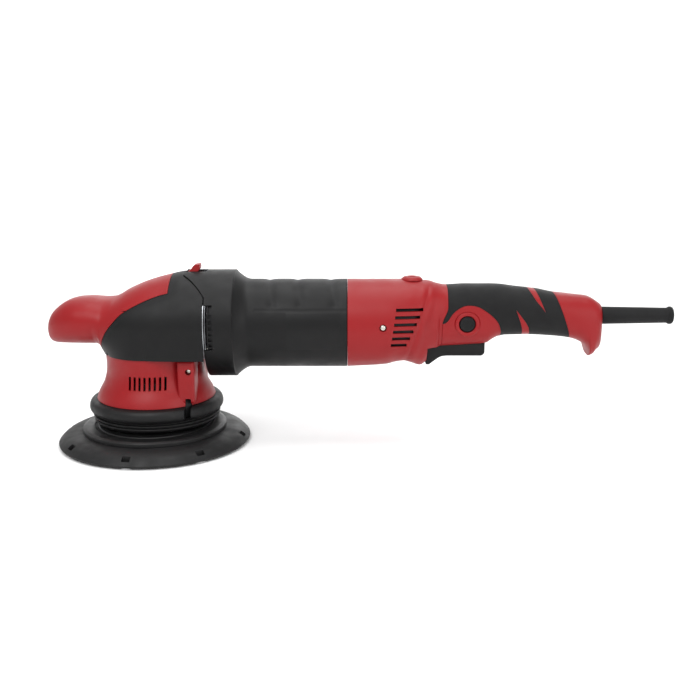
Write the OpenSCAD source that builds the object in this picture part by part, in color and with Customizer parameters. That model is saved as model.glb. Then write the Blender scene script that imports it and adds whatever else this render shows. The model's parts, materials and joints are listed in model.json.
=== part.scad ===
// Dual action polisher: a motor body lying along X with an eccentric backing plate under its front end.
// +X runs to the cord boot, +Z is up and -Y is the side of the lock button.
// The origin is on the spindle axis, on the face of the backing plate.

/* [Backing plate] */
// Diameter of the backing plate
plate_d = 150; // [130:1:180]
// Diameter of the orbit that the plate's centre follows
orbit_d = 21; // [12:1:23]
// Diameter of the stiff hub on the plate
hub_d = 112; // [90:1:118]
// Thickness of the stiff hub
hub_t = 4.1; // [3:0.1:5]
// Height of the flexible foam rim
foam_t = 8.8; // [7:0.1:11]
// Thickness of the hook face
hook_t = 1.6; // [1:0.1:2.5]
// Number of vent windows in the rim
window_count = 8; // [4:1:12]
// Radius of the hole that lets the plate bolt in
plate_hole_r = 8; // [7.5:0.1:9]

/* [Bumper and shroud] */
// Largest radius of the rubber bumper ring
bumper_r = 52.7; // [50:0.1:60]
// Gap between the plate and the bumper ring
bumper_gap = 1.7; // [1:0.1:4]
// Height of the bumper ring
bumper_h = 17.8; // [15:0.1:21]
// Radius of the shroud at its waist
shroud_r = 37.7; // [36.5:0.1:41]
// Wall of the shroud
shroud_wall = 2.4; // [1.8:0.1:2.8]
// Number of vent slots on each side of the shroud
shroud_slots = 8; // [4:1:8]

/* [Motor body] */
// Height of the motor axis above the pad face
axis_z = 92.6; // [90:0.1:120]
// Diameter of the collar behind the head
collar_d = 84; // [81:0.5:90]
// Diameter of the barrel
barrel_d = 69.2; // [66:0.1:74]
// Wall of the barrel
barrel_wall = 2.6; // [2:0.1:3]
// Length of the motor housing
motor_l = 108.3; // [104:0.1:140]
// Length of the armature core
core_l = 40; // [30:1:42]
// Length of the rear housing and handle together
tail_l = 199.5; // [185:0.5:240]

/* [Grip] */
// Half width of the handle
grip_w = 20.3; // [19:0.1:25]
// Wall of the handle shells
shell_wall = 2.6; // [2:0.1:3]
// Thickness of the rubber grip layer
grip_t = 1.2; // [0.8:0.1:1.6]
// Half width of the trigger
trigger_w = 9.2; // [7:0.1:10]
// Radius of the lock button
button_r = 6.1; // [5:0.1:7]
// Outer radius of the cord boot at its root
boot_r = 6.9; // [6.2:0.1:8]
// Radius of the cord passage through the boot
cord_r = 4.1; // [3:0.1:4.5]

/* [Drive] */
// Teeth on the ring gear
ring_teeth = 42; // [36:1:48]
// Teeth on the pinion
pinion_teeth = 12; // [10:1:14]
// Gear module at the large end
gear_m = 1.1; // [1:0.01:1.15]
// Radius of the drive spindle in its lower bearing
spindle_r = 8.5; // [8:0.1:9]
// Outer radius of the lower spindle bearing
lower_bearing_r = 17.5; // [16:0.1:18.5]
// Radius of the pad spindle in its bearings
pad_spindle_r = 7.5; // [6.5:0.1:8]
// Outer radius of the pad bearings
pad_bearing_r = 16; // [14.5:0.1:16.5]
// Radial clearance between a turning shaft and its bearing
run_gap = 0.03; // [0.02:0.01:0.08]

/* [Hidden] */
$fn = 96;
e = orbit_d / 2;
plate_r = plate_d / 2;
foam_z = hook_t + foam_t;
hub_z = foam_z + hub_t;
bumper_z = hub_z + bumper_gap;
shroud_z = bumper_z + bumper_h;
head_drop = 22.2;
head_z = axis_z - head_drop;
collar_r = collar_d / 2;
barrel_r = barrel_d / 2;
motor_x = 44.7;
motor_end = motor_x + motor_l;
shoulder_x = motor_x + 21.8;
barrel_x = shoulder_x + 11.5;
collar_wall = 3.5;
tail_end = motor_end + tail_l;
grip_len = tail_l - 199.5;
stator_x = barrel_x + 6;
comm_x = stator_x + core_l + 7;
comm_l = 14;
bracket_x = motor_end - 4;
shaft_r = 4;
pinion_angle = atan(pinion_teeth / ring_teeth);
cone_l = gear_m * ring_teeth / 2 / cos(pinion_angle);
cone_in = cone_l * 0.68;
gear_base = axis_z - 12.6;
front_bearing_x = 31;
front_bearing_l = 9;
front_bearing_r = 15;
cup_z = bumper_z + 12;
pad_bearing_l = 9;
cup_top = cup_z + 1.4 + 2 * pad_bearing_l;
weight_top = cup_top + 9.5;
weight_r = 33;
// The disc is cut away on the pad's side, so that the half ring opposite balances the pad
weight_cut = e + 3.5;
lower_z = axis_z - 26;
lower_l = 10;
upper_z = axis_z + 10;
upper_l = 10;
window_z = [-13.8, 20.2];
slider_x = 28.9;
slider_travel = 5;
spanner_slot = [28.6, 33.2];
lug_screw_x = 31.5;
lug_screw_drop = 9.6;
flange_screw_r = 33.5;
flange_screw_angles = [48, 118, -118, -48];
skin_gap = 0.04;
button_at = [245.5, 2.2];
pivot_at = [219.5, -8.4];
boot_z = axis_z + 5.7;
dial_at = [330 + grip_len, 8];
dial_h = 10;
hanger_x = 203.4;
screw_at = [[206, 22, 19], [204, -19, 20], [266, 14, 17.4], [309 + grip_len, 8, 17.4], [336 + grip_len, -7, 13.6]];

// ---- shared shapes ----

// Turns a profile of [radius, x] points about the motor axis.
module about_motor(z = axis_z) {
    translate([0, 0, z]) rotate([0, 90, 0]) rotate_extrude() children();
}

// A cylinder along X from x0, on the line y, z.
module bar_x(x0, l, r, y = 0, z = axis_z, sides = $fn) {
    translate([x0, y, z]) rotate([0, 90, 0]) cylinder(r = r, h = l, $fn = sides);
}

// A cylinder along Y from y0, at x and at height h above the motor axis.
module bar_y(x, h, y0, y1, r) {
    translate([x, y1, axis_z + h]) rotate([90, 0, 0]) cylinder(r = r, h = y1 - y0);
}

// A tube along Z.
module tube_z(z0, l, r_out, r_in, y = 0) {
    translate([0, y, z0]) difference() {
        cylinder(r = r_out, h = l);
        translate([0, 0, -1]) cylinder(r = r_in, h = l + 2);
    }
}

// A tube along X on the motor axis.
module tube_x(x0, l, r_out, r_in) {
    difference() {
        bar_x(x0, l, r_out);
        bar_x(x0 - 1, l + 2, r_in);
    }
}

module box(x0, x1, y0, y1, z0, z1) {
    translate([x0, y0, z0]) cube([x1 - x0, y1 - y0, z1 - z0]);
}

// An outline in X and height above the motor axis, as a plate between y0 and y1.
module plate_y(y0, y1) {
    translate([0, y1, axis_z]) rotate([90, 0, 0]) linear_extrude(y1 - y0) children();
}

// A skin over loops that run out along one edge and back along the other, with ends of facing pairs of points.
module loft(loops) {
    n = len(loops[0]);
    m = len(loops);
    far = (m - 1) * n;
    polyhedron(
        points = [for (l = loops, p = l) p],
        faces = concat(
            [for (i = [0:n / 2 - 2], t = [0, 1]) t == 0 ? [n - 2 - i, i + 1, i] : [n - 1 - i, n - 2 - i, i]],
            [for (j = [0:m - 2], i = [0:n - 1], t = [0, 1])
                t == 0 ? [j * n + i, j * n + (i + 1) % n, (j + 1) * n + (i + 1) % n]
                       : [j * n + i, (j + 1) * n + (i + 1) % n, (j + 1) * n + i]],
            [for (i = [0:n / 2 - 2], t = [0, 1])
                t == 0 ? [far + i, far + i + 1, far + n - 2 - i] : [far + i, far + n - 2 - i, far + n - 1 - i]]),
        convexity = 8);
}

function power(v, p) = sign(v) * pow(abs(v), p);

// A point of a rounded section. s = [x, top, bottom, half width, squareness, lean], heights from the motor
// axis; a turns from the top; inset moves the point inwards.
function section_point(s, a, inset = 0) =
    let (mid = (s[1] + s[2]) / 2,
         h = (s[1] - s[2]) / 2 - inset,
         z = mid + h * power(cos(a), 2 / s[4]))
    [s[0] - s[5] * z, (s[3] - inset) * power(sin(a), 2 / s[4]), axis_z + z];

arc_steps = 15;
function half_turn(s, inset) = [for (i = [0:arc_steps]) section_point(s, 180 * i / arc_steps, inset)];
function full_turn(s) = [for (i = [0:2 * arc_steps - 1]) section_point(s, 180 * (i + 0.5) / arc_steps)];
function reversed(l) = [for (i = [len(l) - 1:-1:0]) l[i]];
function half_shell_loop(s, outer, inner) = concat(half_turn(s, outer), reversed(half_turn(s, inner)));

// ---- handle outline: [x, top, bottom, half width, squareness, lean] ----

grip_top = 30.8;
guard_low = -16.4;
grip_low = -7.2;
grip_x0 = motor_end + 77;
grip_x1 = 320 + grip_len;
grip_lean = 0.37;
seam = 0.4;
rear = [
    [motor_end, barrel_r, -barrel_r, barrel_r, 2, 0],
    [motor_end + 36, barrel_r, 1.8 - barrel_r, barrel_r - 0.8, 2, 0],
    [motor_end + 47, barrel_r - 0.3, 4 - barrel_r, barrel_r - 2.2, 2.05, 0],
    [motor_end + 58, barrel_r - 0.9, 2 - barrel_r, barrel_r - 6.4, 2.1, 0],
    [motor_end + 60.6, barrel_r - 1.1, guard_low, barrel_r - 8, 2.15, 0],
    [motor_end + 68, grip_top + 0.6, guard_low, grip_w + 2.6, 2.25, 0],
    [grip_x0, grip_top - 0.6, guard_low, grip_w, 2.4, 0]];
mid = [
    [grip_x0 + seam, grip_top - 0.6, guard_low, grip_w, 2.4, 0],
    [motor_end + 92, grip_top, guard_low, grip_w, 2.5, 0],
    [motor_end + 108.5, grip_top, guard_low + 0.5, grip_w, 2.5, 0],
    [motor_end + 112.5, grip_top, guard_low + 3.4, grip_w, 2.5, 0.02],
    [motor_end + 117, grip_top - 0.1, grip_low - 1.4, grip_w, 2.5, 0.05],
    [motor_end + 123, grip_top - 0.4, grip_low, grip_w, 2.5, 0.1],
    [292 + grip_len * 0.7, grip_top - 2, grip_low + 0.3, grip_w - 0.1, 2.45, 0.25],
    [307 + grip_len, grip_top - 3.8, grip_low - 0.7, grip_w - 0.4, 2.4, 0.33],
    [grip_x1 - seam, grip_top - 6.2, grip_low - 2.6, grip_w - 0.9, 2.35, grip_lean]];
last = [
    [grip_x1, grip_top - 6.2, grip_low - 2.6, grip_w - 0.9, 2.35, grip_lean],
    [tail_end - 21, grip_top - 7.6, grip_low - 6.5, grip_w - 1.2, 2.35, 0.3],
    [tail_end - 15, grip_top - 8.8, grip_low - 10.5, grip_w - 1.4, 2.35, 0.18],
    [tail_end - 10.5, grip_top - 9.8, grip_low - 15.6, grip_w - 1.6, 2.4, 0.06],
    [tail_end - 6, grip_top - 12.6, grip_low - 15, grip_w - 1.8, 2.4, 0]];
// The last stations close the handle: the space inside shrinks to a slit that the cord boot covers.
tail_cap = [
    [tail_end - 5.4, grip_top - 13, grip_low - 14.8, grip_w - 1.9, 2.4, 0],
    [tail_end - 1.5, grip_top - 16, grip_low - 11.8, grip_w - 2.4, 2.4, 0],
    [tail_end, grip_top - 18, grip_low - 9.8, grip_w - 4.2, 2.4, 0]];
// Inner station of the wall in front of the trigger, where the cavity ends before the outside drops away.
chin = 3;
chin_in = [rear[chin][0], rear[chin][1], guard_low, rear[chin][3], rear[chin][4], 0];
function shell_loop(s, sunk) = half_shell_loop(s, sunk, shell_wall + sunk);
function rear_loop(i) = i == chin ? concat(half_turn(rear[i], 0), reversed(half_turn(chin_in, shell_wall)))
    : shell_loop(rear[i], 0);
function cap_loop(s) = half_shell_loop(s, 0, min(s[3], (s[1] - s[2]) / 2) - 0.6);

// One half of the rear housing and handle, on the +Y side, before its openings are cut.
module half_tail() {
    loft(concat([for (i = [0:len(rear) - 1]) rear_loop(i)], [for (s = mid) shell_loop(s, grip_t)],
        [for (s = last) shell_loop(s, 0)], [for (s = tail_cap) cap_loop(s)]));
}

// Openings that both halves share.
module trigger_opening() {
    box(motor_end + 60.9, motor_end + 109, -trigger_w - 0.6, trigger_w + 0.6, axis_z - 40, axis_z + guard_low + 6.8);
}

module tail_openings() {
    trigger_opening();
    translate([tail_end - 20, 0, boot_z]) rotate([0, 90, 0]) rotate([0, 0, 50]) cylinder(r = boot_r - 0.9, h = 30);
    translate([hanger_x, 0, axis_z + barrel_r - 7]) cylinder(r = 6.2, h = 20);
    for (i = [0:5])
        box(motor_end + 36.8 - 0.74 * i, motor_end + 57.7 - 2.5 * i, -50, 50,
            axis_z + 14 - 5.4 * i, axis_z + 16.5 - 5.4 * i);
    bar_y(motor_end + 27, 2.2, -60, 60, 1.6);
    bar_y(motor_end + 27, 2.2, -60, 2.8 - barrel_r, 2.6);
    bar_y(motor_end + 27, 2.2, barrel_r - 2.8, 60, 2.6);
}

module handle_left() {
    color("firebrick") difference() {
        union() {
            mirror([0, 1, 0]) half_tail();
            for (p = screw_at) bar_y(p[0], p[1], -p[2], 0, 4);
            bar_y(pivot_at[0], pivot_at[1], -15, -trigger_w - 0.5, 3.4);
        }
        tail_openings();
        for (p = screw_at) bar_y(p[0], p[1], -p[2] + 4, 1, 1.5);
        bar_y(pivot_at[0], pivot_at[1], -14, 0, 1.5);
        bar_y(button_at[0], button_at[1], -30, -9, button_r + 0.3);
    }
}

module handle_right() {
    color("firebrick") difference() {
        union() {
            half_tail();
            for (p = screw_at) bar_y(p[0], p[1], 0, p[2], 4);
            bar_y(pivot_at[0], pivot_at[1], trigger_w + 0.5, 15, 3.4);
        }
        tail_openings();
        for (p = screw_at) {
            bar_y(p[0], p[1], -1, 40, 1.6);
            bar_y(p[0], p[1], p[2] - 1.5, 40, 3.4);
        }
        bar_y(pivot_at[0], pivot_at[1], 0, 14, 1.5);
        box(dial_at[0] - 11.2, dial_at[0] + 11.2, 4, 40, axis_z + dial_h - 0.5, axis_z + dial_h + 5.5);
    }
}

// Region of the handle's side, in X and height, that the switch surround takes.
module surround_region(grow = 0) {
    translate([motor_end + 94.5, -4.6]) circle(r = 21.5 + grow);
    translate([motor_end + 62, -40]) square([54 + grow, 35.4 + grow]);
}

module slash_region() {
    polygon([[291.5, 33], [297, 33], [301.5, 21.5], [305.2, 11.6], [298.6, 19.5]]);
    polygon([[282.8, 13.4], [289, 5], [293, -1], [296, -9], [289, -9], [286.8, 2.6]]);
}

module grip_layer() {
    loft([for (s = mid) half_shell_loop(s, 0, grip_t - skin_gap)]);
}

module grip_half() {
    difference() {
        grip_layer();
        plate_y(2, 40) surround_region(0.1);
        plate_y(-1, 40) slash_region();
        trigger_opening();
    }
}

module surround_half() {
    difference() {
        intersection() {
            grip_layer();
            plate_y(2.5, 40) surround_region(0);
        }
        trigger_opening();
    }
}

module grip_left() { color("#2b2b2b") mirror([0, 1, 0]) grip_half(); }

module grip_right() {
    color("#2b2b2b") difference() {
        grip_half();
        for (p = screw_at) bar_y(p[0], p[1], 5, 40, 3.4);
    }
}

module switch_surround_left() {
    color("firebrick") difference() {
        mirror([0, 1, 0]) surround_half();
        bar_y(button_at[0], button_at[1], -40, 0, button_r + 0.3);
        bar_y(button_at[0], button_at[1], -40, 0.6 - grip_w, 11.7);
    }
}

module switch_surround_right() { color("firebrick") surround_half(); }

// ---- head ----

// Stations of the head: [x, top, bottom, half width, squareness, lean] like the handle's.
nose = [
    [-82.9, -1, -8.5, 7, 2.2, 0],
    [-82.3, 4, -11.6, 13, 2.3, 0],
    [-80.5, 8.5, -13.8, 18, 2.4, 0],
    [-77, 12, -15, 21.5, 2.4, 0],
    [-72, 15.6, -15.4, 24, 2.4, 0],
    [-66, 19.2, -15.4, 25.6, 2.3, 0],
    [-58, 21.6, -15.4, 26.5, 2.3, 0],
    [-48, 22, -15.4, 27, 2.3, 0],
    [-41, 21.4, -15.4, 27.6, 2.3, 0],
    [-36, 20.9, -15.2, 28.6, 2.2, 0]];
head = [
    [-36, 20.9, 0, 28.6, 2.2, 0],
    [-30, 20.8, 0, 31.2, 2.2, 0],
    [-25, 22.8, 0, 33.4, 2.2, 0],
    [-18, 27, 0, 35.8, 2.15, 0],
    [-8, 31.6, 0, 38.2, 2.1, 0],
    [2, 35.2, 0, 39.8, 2.05, 0],
    [12, 38, 0, 40.8, 2, 0],
    [18, 39.5, 0, 41.2, 2, 0],
    [26.5, 41, 0, 41.4, 2, 0],
    [44.4, 41, 0, 41.4, 2, 0]];
cover_wall = 2.5;
cover_steps = 12;
spine_rows = 7;

// A point of the head's wall: u runs from the top centre at 0 over the side at 0.7 to the lower edge at 1.
function head_point(s, u, inset) =
    let (w = s[3] - inset, a = 90 * min(u / 0.7, 1), d = max(u - 0.7, 0) / 0.3,
         low = min(w, sqrt(max((shroud_r + 1.3) ^ 2 - s[0] ^ 2, 16)) - inset))
    [s[0], u <= 0.7 ? w * power(sin(a), 2 / s[4]) : s[0] < 0 ? w + (low - w) * d : w,
     axis_z + (u <= 0.7 ? (s[1] - inset) * power(cos(a), 2 / s[4]) : (head_z - axis_z) * d)];

// Where the red spine gives way to the black cover at a station.
function split_u(x) = x > 17.6 ? 0 : 0.155 + 0.4 * pow(max(17.6 - x, 0) / 53.6, 0.9) * 0.95;

function head_loop(s, u0, u1) = concat(
    [for (i = [0:cover_steps]) head_point(s, u0 + (u1 - u0) * i / cover_steps, 0)],
    [for (i = [cover_steps:-1:0]) head_point(s, u0 + (u1 - u0) * i / cover_steps, cover_wall)]);

// Stations up to x, with the last one set at x.
function upto(list, x) = concat([for (s = list) if (s[0] < x - 0.5) s],
    [let (s = [for (q = list) if (q[0] >= x - 0.5) q][0]) [x, s[1], s[2], s[3], s[4], s[5]]]);

module head_half() {
    front = upto(head, 17.5);
    back = [for (s = head) if (s[0] > 17.5) s];
    difference() {
        union() {
            loft(concat([for (s = front) head_loop(s, split_u(s[0]), 1)],
                [for (s = back) head_loop(s, 0, 1)]));
            rotate([0, 0, 90]) rotate_extrude(angle = 90) front_skirt();
        }
        lip_space(0.3);
        box(26, 50, -7, 7, axis_z + 32.2, axis_z + 50);
    }
}

// Section of the concave throat under the nose.
module front_skirt() {
    r = shroud_r + 0.6;
    polygon([[r - 3, head_z], [r, head_z], [r + 0.6, head_z + 3], [r + 2.2, head_z + 5.3],
        [r + 4.6, head_z + 6.8], [r - 3, head_z + 6.8]]);
}

module head_cover_left() { color("#303030") mirror([0, 1, 0]) head_half(); }

module head_cover_right() { color("#303030") head_half(); }

module nose_grip() {
    strip = upto(head, 17.3);
    root = [-38, 20.4, 0, 27.6, 2.2, 0];
    color("firebrick") difference() {
        union() {
            loft([for (s = nose) full_turn(s)]);
            loft([for (s = concat([root], strip)) concat(
                [for (i = [-spine_rows:spine_rows]) spine_point(s, i / spine_rows, 0)],
                [for (i = [spine_rows:-1:-spine_rows]) spine_point(s, i / spine_rows, cover_wall)])]);
        }
        translate([0, 0, axis_z - 40]) cylinder(r = shroud_r - 2, h = 55);
    }
}

function spine_point(s, t, inset) =
    let (p = head_point(s, abs(t) * (split_u(s[0]) - 0.004), inset)) [p[0], sign(t) * p[1], p[2]];

// Space of the collar's front lip over the head, in a wedge that widens to the rear.
module lip_space(grow = 0) {
    translate([0, 0, axis_z + 15]) linear_extrude(40)
        polygon([[27 - grow, -13 - grow], [27 - grow, 13 + grow], [motor_x, 33 + grow], [motor_x + 1, 33 + grow],
            [motor_x + 1, -33 - grow], [motor_x, -33 - grow]]);
}

module gear_housing() {
    flange_r = collar_r - collar_wall - 0.7;
    color("silver") difference() {
        union() {
            translate([0, 0, axis_z - 28]) cylinder(r = lower_bearing_r + 5, h = 12);
            translate([0, 0, head_z]) cylinder(r = 29, h = 34.2);
            translate([0, 0, axis_z + 12]) cylinder(r1 = 29, r2 = 13, h = 10);
            bar_x(5, 36, head_drop - 0.2);
            difference() {
                bar_x(40, 4.4, flange_r);
                box(39, motor_x, -50, 50, 0, head_z - 0.4);
            }
        }
        translate([0, 0, lower_z]) cylinder(r = lower_bearing_r, h = lower_l);
        translate([0, 0, axis_z - 30]) cylinder(r = spindle_r + 2, h = 10);
        translate([0, 0, lower_z + lower_l - 0.1]) cylinder(r = lower_bearing_r - 2, h = 3);
        translate([0, 0, axis_z - 14]) cylinder(r = 25.5, h = 23);
        translate([0, 0, axis_z]) cylinder(r = 9, h = 20);
        bar_x(10, 22, 9.6);
        bar_x(front_bearing_x, 20, front_bearing_r);
        flange_screws() bar_x(39, 8, 2.1, 0, axis_z, 32);
    }
}

// Puts something on the motor axis at each of the flange screws.
module flange_screws() {
    for (a = flange_screw_angles) rotate_about_motor(a) translate([0, 0, flange_screw_r]) children();
}

module rotate_about_motor(a) {
    translate([0, 0, axis_z]) rotate([a, 0, 0]) translate([0, 0, -axis_z]) children();
}

// Plate that keeps the front bearing in; its two ears show in the side windows.
module bearing_plate() {
    color("gainsboro") difference() {
        union() {
            bar_x(44.4, 1.8, collar_r - collar_wall - 0.3);
            bar_x(front_bearing_x + front_bearing_l, 5, front_bearing_r - 0.1);
            intersection() {
                bar_x(44.4, 1.8, collar_r - 0.4);
                box(44, 47, -50, 50, axis_z + window_z[0] + 0.4, axis_z + window_z[1] - 0.4);
            }
        }
        bar_x(39, 10, 12);
        flange_screws() bar_x(39, 8, 2.1, 0, axis_z, 32);
        for (k = [0:7]) rotate_about_motor(45 * k) bar_x(40, 10, 4, 0, axis_z + 21, 48);
    }
}

function shroud_outer() = [[shroud_r + 9, shroud_z], [shroud_r + 7, shroud_z + 5.6], [shroud_r + 2.6, shroud_z + 13],
    [shroud_r + 0.4, shroud_z + 21], [shroud_r, head_z - 9], [shroud_r + 0.5, head_z]];

module shroud() {
    outer = shroud_outer();
    inner = [for (p = reversed(outer)) [p[0] - shroud_wall, p[1]]];
    lug = [14, 35.6];
    color("firebrick") difference() {
        union() {
            rotate_extrude() polygon(concat(outer, inner));
            tube_z(head_z - 3, 3, shroud_r - 1, lower_bearing_r + 5);
            for (side = [0, 1]) mirror([0, side, 0]) difference() {
                box(lug[0], lug[1], -shroud_r + 1, -16, head_z - 24, head_z - 1);
                translate([0, 0, shroud_z]) cylinder(r = shroud_r - shroud_wall - 0.6, h = 60);
            }
        }
        for (side = [-1, 1], i = [0:shroud_slots - 1])
            box(-13.8 + 3.86 * i, -12.1 + 3.86 * i, side < 0 ? -50 : 20, side < 0 ? -20 : 50,
                head_z - 23.4, head_z - 13.2);
        for (side = [0, 1]) mirror([0, side, 0])
            translate([lug_screw_x, 0, head_z - lug_screw_drop]) {
                translate([0, -20, 0]) rotate([90, 0, 0]) cylinder(r = 1.5, h = 30);
                translate([0, 6.8 - shroud_r, 0]) rotate([90, 0, 0]) cylinder(r = 2.3, h = 30);
            }
        box(spanner_slot[0], spanner_slot[1], -60, -26, shroud_z - 9, shroud_z + 6);
    }
}

module bumper_ring() {
    bulge = 5.1;
    color("#1c1c1c") difference() {
        rotate_extrude() intersection() {
            union() {
                translate([bumper_r - bulge, bumper_z + bumper_h - bulge - 0.1]) circle(r = bulge);
                translate([bumper_r - 9.2, bumper_z + 0.6]) square([5, bumper_h - 0.6]);
                translate([bumper_r - 3.7, bumper_z + 1.6]) circle(r = 1.6);
                translate([bumper_r - 7, bumper_z]) square([3.4, 3.2]);
            }
            translate([bumper_r - 9.2, bumper_z]) square([20, bumper_h]);
        }
        box(spanner_slot[0], spanner_slot[1], -60, -26, bumper_z - 1, shroud_z + 1);
    }
}

// Collar and barrel in one moulding, with grip recesses along the top.
module motor_housing() {
    outer_r = [for (t = [0:0.125:1]) [barrel_r + (collar_r - barrel_r) * (1 - sin(90 * t)), shoulder_x + 11.5 * t]];
    color("#2b2b2b") difference() {
        union() {
            about_motor() polygon(concat([[collar_r - 0.6, motor_x], [collar_r, motor_x + 0.6], [collar_r, shoulder_x - 1.5],
                [collar_r - 0.6, shoulder_x - 0.4]], [for (p = outer_r) if (p[1] > shoulder_x) p],
                [[barrel_r, motor_end], [barrel_r - barrel_wall, motor_end], [barrel_r - barrel_wall, barrel_x + 4],
                [collar_r - collar_wall, shoulder_x - 1], [collar_r - collar_wall, motor_x]]));
            intersection() {
                tube_x(20, motor_x - 19.5, collar_r, collar_r - collar_wall);
                lip_space();
            }
        }
        for (x = [91.6, 113.4, 139.4]) translate([x, 0, axis_z + barrel_r + 8.6]) rotate([90, 0, 0])
            cylinder(r = 9.6, h = 60, center = true);
        box(26, motor_x + 0.5, -6.8, 6.8, axis_z + 30, axis_z + 50);
        for (side = [-1, 1]) box(motor_x - 1, motor_x + 6.8, side < 0 ? -50 : 30, side < 0 ? -30 : 50,
            axis_z + window_z[0], axis_z + window_z[1]);
    }
}

module exhaust_grilles() {
    slats = 6;
    step = (window_z[1] - window_z[0] - 0.6) / slats;
    color("#1a1a1a") for (side = [-1, 1]) difference() {
        intersection() {
            tube_x(motor_x + 2.8, 4, collar_r - 0.8, collar_r - collar_wall);
            box(0, 90, side < 0 ? -50 : 30, side < 0 ? -30 : 50, axis_z + window_z[0] + 0.2, axis_z + window_z[1] - 0.2);
        }
        for (i = [0:slats - 1]) box(motor_x + 3.6, motor_x + 5.8, side < 0 ? -50 : 30, side < 0 ? -30 : 50,
            axis_z + window_z[0] + 1.4 + step * i, axis_z + window_z[0] + 1.4 + step * (i + 0.62));
    }
}

module lock_slider() {
    color("firebrick") plate_y(-5.2, 5.2)
        polygon([[slider_x, 35.2], [slider_x + 5.1, 35.2], [slider_x + 5.4, 38.6], [slider_x + 9.7, 43],
            [slider_x + 9.7, 46.8], [slider_x + 5.1, 46.4], [slider_x + 1.9, 42], [slider_x, 41.2]]);
}

module slider_track() {
    color("gainsboro") difference() {
        box(27.4, motor_x - 0.6, -6.8, 6.8, axis_z + 37.9, axis_z + 40.9);
        box(20, slider_x + 9.7 + slider_travel + 0.6, -5.6, 5.6, axis_z + 30, axis_z + 50);
    }
}

module hanger_boss() {
    color("firebrick") translate([hanger_x, 0, axis_z]) difference() {
        union() {
            translate([0, 0, barrel_r - 6]) cylinder(r = 6.2, h = 6);
            translate([0, 0, barrel_r - 0.4]) cylinder(r1 = 8.4, r2 = 6.8, h = 2.8);
        }
        translate([0, 0, barrel_r - 5]) cylinder(r = 2.5, h = 20);
    }
}

// ---- trigger, switch and controls ----

module trigger() {
    x0 = motor_end + 61.2;
    x1 = motor_end + 107.8;
    color("#222222") difference() {
        union() {
            plate_y(-trigger_w, trigger_w) polygon([[x0 + 0.4, -32], [x0 + 3, -32.2], [x0 + 7, -29], [x0 + 11.5, -25.8],
                [x0 + 15, -25], [x1 - 2, -25], [x1, -23], [x1, -10.5], [x0 + 1.2, -10.5], [x0 + 0.4, -20]]);
            bar_y(pivot_at[0], pivot_at[1], -trigger_w, trigger_w, 4);
        }
        bar_y(pivot_at[0], pivot_at[1], -20, 20, 1.5 + run_gap);
    }
}

module trigger_pin() { color("silver") bar_y(pivot_at[0], pivot_at[1], -14, 14, 1.5); }

module lock_button() {
    color("#1f1f1f") union() {
        bar_y(button_at[0], button_at[1], 0.2 - grip_w, 6 - grip_w, button_r);
        bar_y(button_at[0], button_at[1], 5 - grip_w, 9 - grip_w, 3);
    }
}

module switch_body() {
    color("#3a3a3a") difference() {
        box(227, 257, -7.5, 7.5, axis_z - 2, axis_z + 15);
        box(238.8, 245.2, -4.2, 4.2, axis_z - 3, axis_z + 3);
    }
}

module switch_plunger() {
    color("ivory") union() {
        box(239.2, 244.8, -3.8, 3.8, axis_z - 10.2, axis_z - 1);
        box(237.6, 246.4, -5.4, 5.4, axis_z - 10.2, axis_z - 8.6);
    }
}

module switch_spring() { color("silver") translate([242, 0, 0]) tube_z(axis_z - 8.6, 6.5, 6.9, 5.4); }

module speed_dial() {
    color("#222222") translate([dial_at[0], dial_at[1], axis_z + dial_h]) difference() {
        cylinder(r = 10.5, h = 5);
        translate([0, 0, -1]) cylinder(r = 2 + run_gap, h = 7);
        for (k = [0:17]) rotate([0, 0, 20 * k]) translate([10.9, 0, -1]) cylinder(r = 0.8, h = 7, $fn = 16);
    }
}

module speed_module() {
    color("darkgreen") union() {
        box(motor_end + 12, motor_end + 40, -16, 16, axis_z - 12, axis_z - 10.2);
        box(motor_end + 14, motor_end + 38, -13, 13, axis_z - 10.2, axis_z + 8);
        translate([dial_at[0], dial_at[1], axis_z + dial_h - 2]) cylinder(r = 2, h = 7.6);
        box(dial_at[0] - 6, dial_at[0] + 6, dial_at[1] - 8, dial_at[1] + 6, axis_z + dial_h - 3.4, axis_z + dial_h - 1.8);
    }
}

module capacitor() { color("goldenrod") bar_x(276, 24, 8, 0, axis_z + 11); }

module cord_boot() {
    x0 = tail_end - 8.4;
    end_x = tail_end + 56.5;
    color("#1c1c1c") about_motor(boot_z) polygon([[boot_r + 2.6, x0], [boot_r + 2.6, x0 + 2.4], [boot_r - 1, x0 + 2.4],
        [boot_r - 1, tail_end], [boot_r, tail_end], [boot_r - 1, end_x - 4], [boot_r, end_x - 3],
        [boot_r + 0.1, end_x - 1.5], [boot_r - 0.6, end_x], [cord_r, end_x], [cord_r, x0]]);
}

module cord_clamp() {
    color("#3a3a3a") difference() {
        box(tail_end - 16, tail_end - 10.2, -11, 11, boot_z - 6.4, boot_z - 2);
        bar_x(tail_end - 20, 20, cord_r, 0, boot_z);
    }
}

module inner_leads() {
    color("saddlebrown") bar_x(257, 60 + grip_len, 1.3, 3.2, axis_z - 0.8, 24);
    color("royalblue") bar_x(257, 60 + grip_len, 1.3, -3.2, axis_z - 0.8, 24);
}

// ---- fasteners ----

// A screw along -Y or +Y from its head at y0.
module side_screw(x, h, y0, l, r_head, r_shank, dir) {
    far = y0 + dir * l;
    difference() {
        union() {
            bar_y(x, h, min(y0, y0 + dir * 1.8), max(y0, y0 + dir * 1.8), r_head);
            bar_y(x, h, min(y0, far), max(y0, far), r_shank);
        }
        translate([x, y0, axis_z + h]) rotate([90, 0, 0]) cylinder(r = r_head * 0.45, h = 2, center = true, $fn = 6);
    }
}

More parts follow.
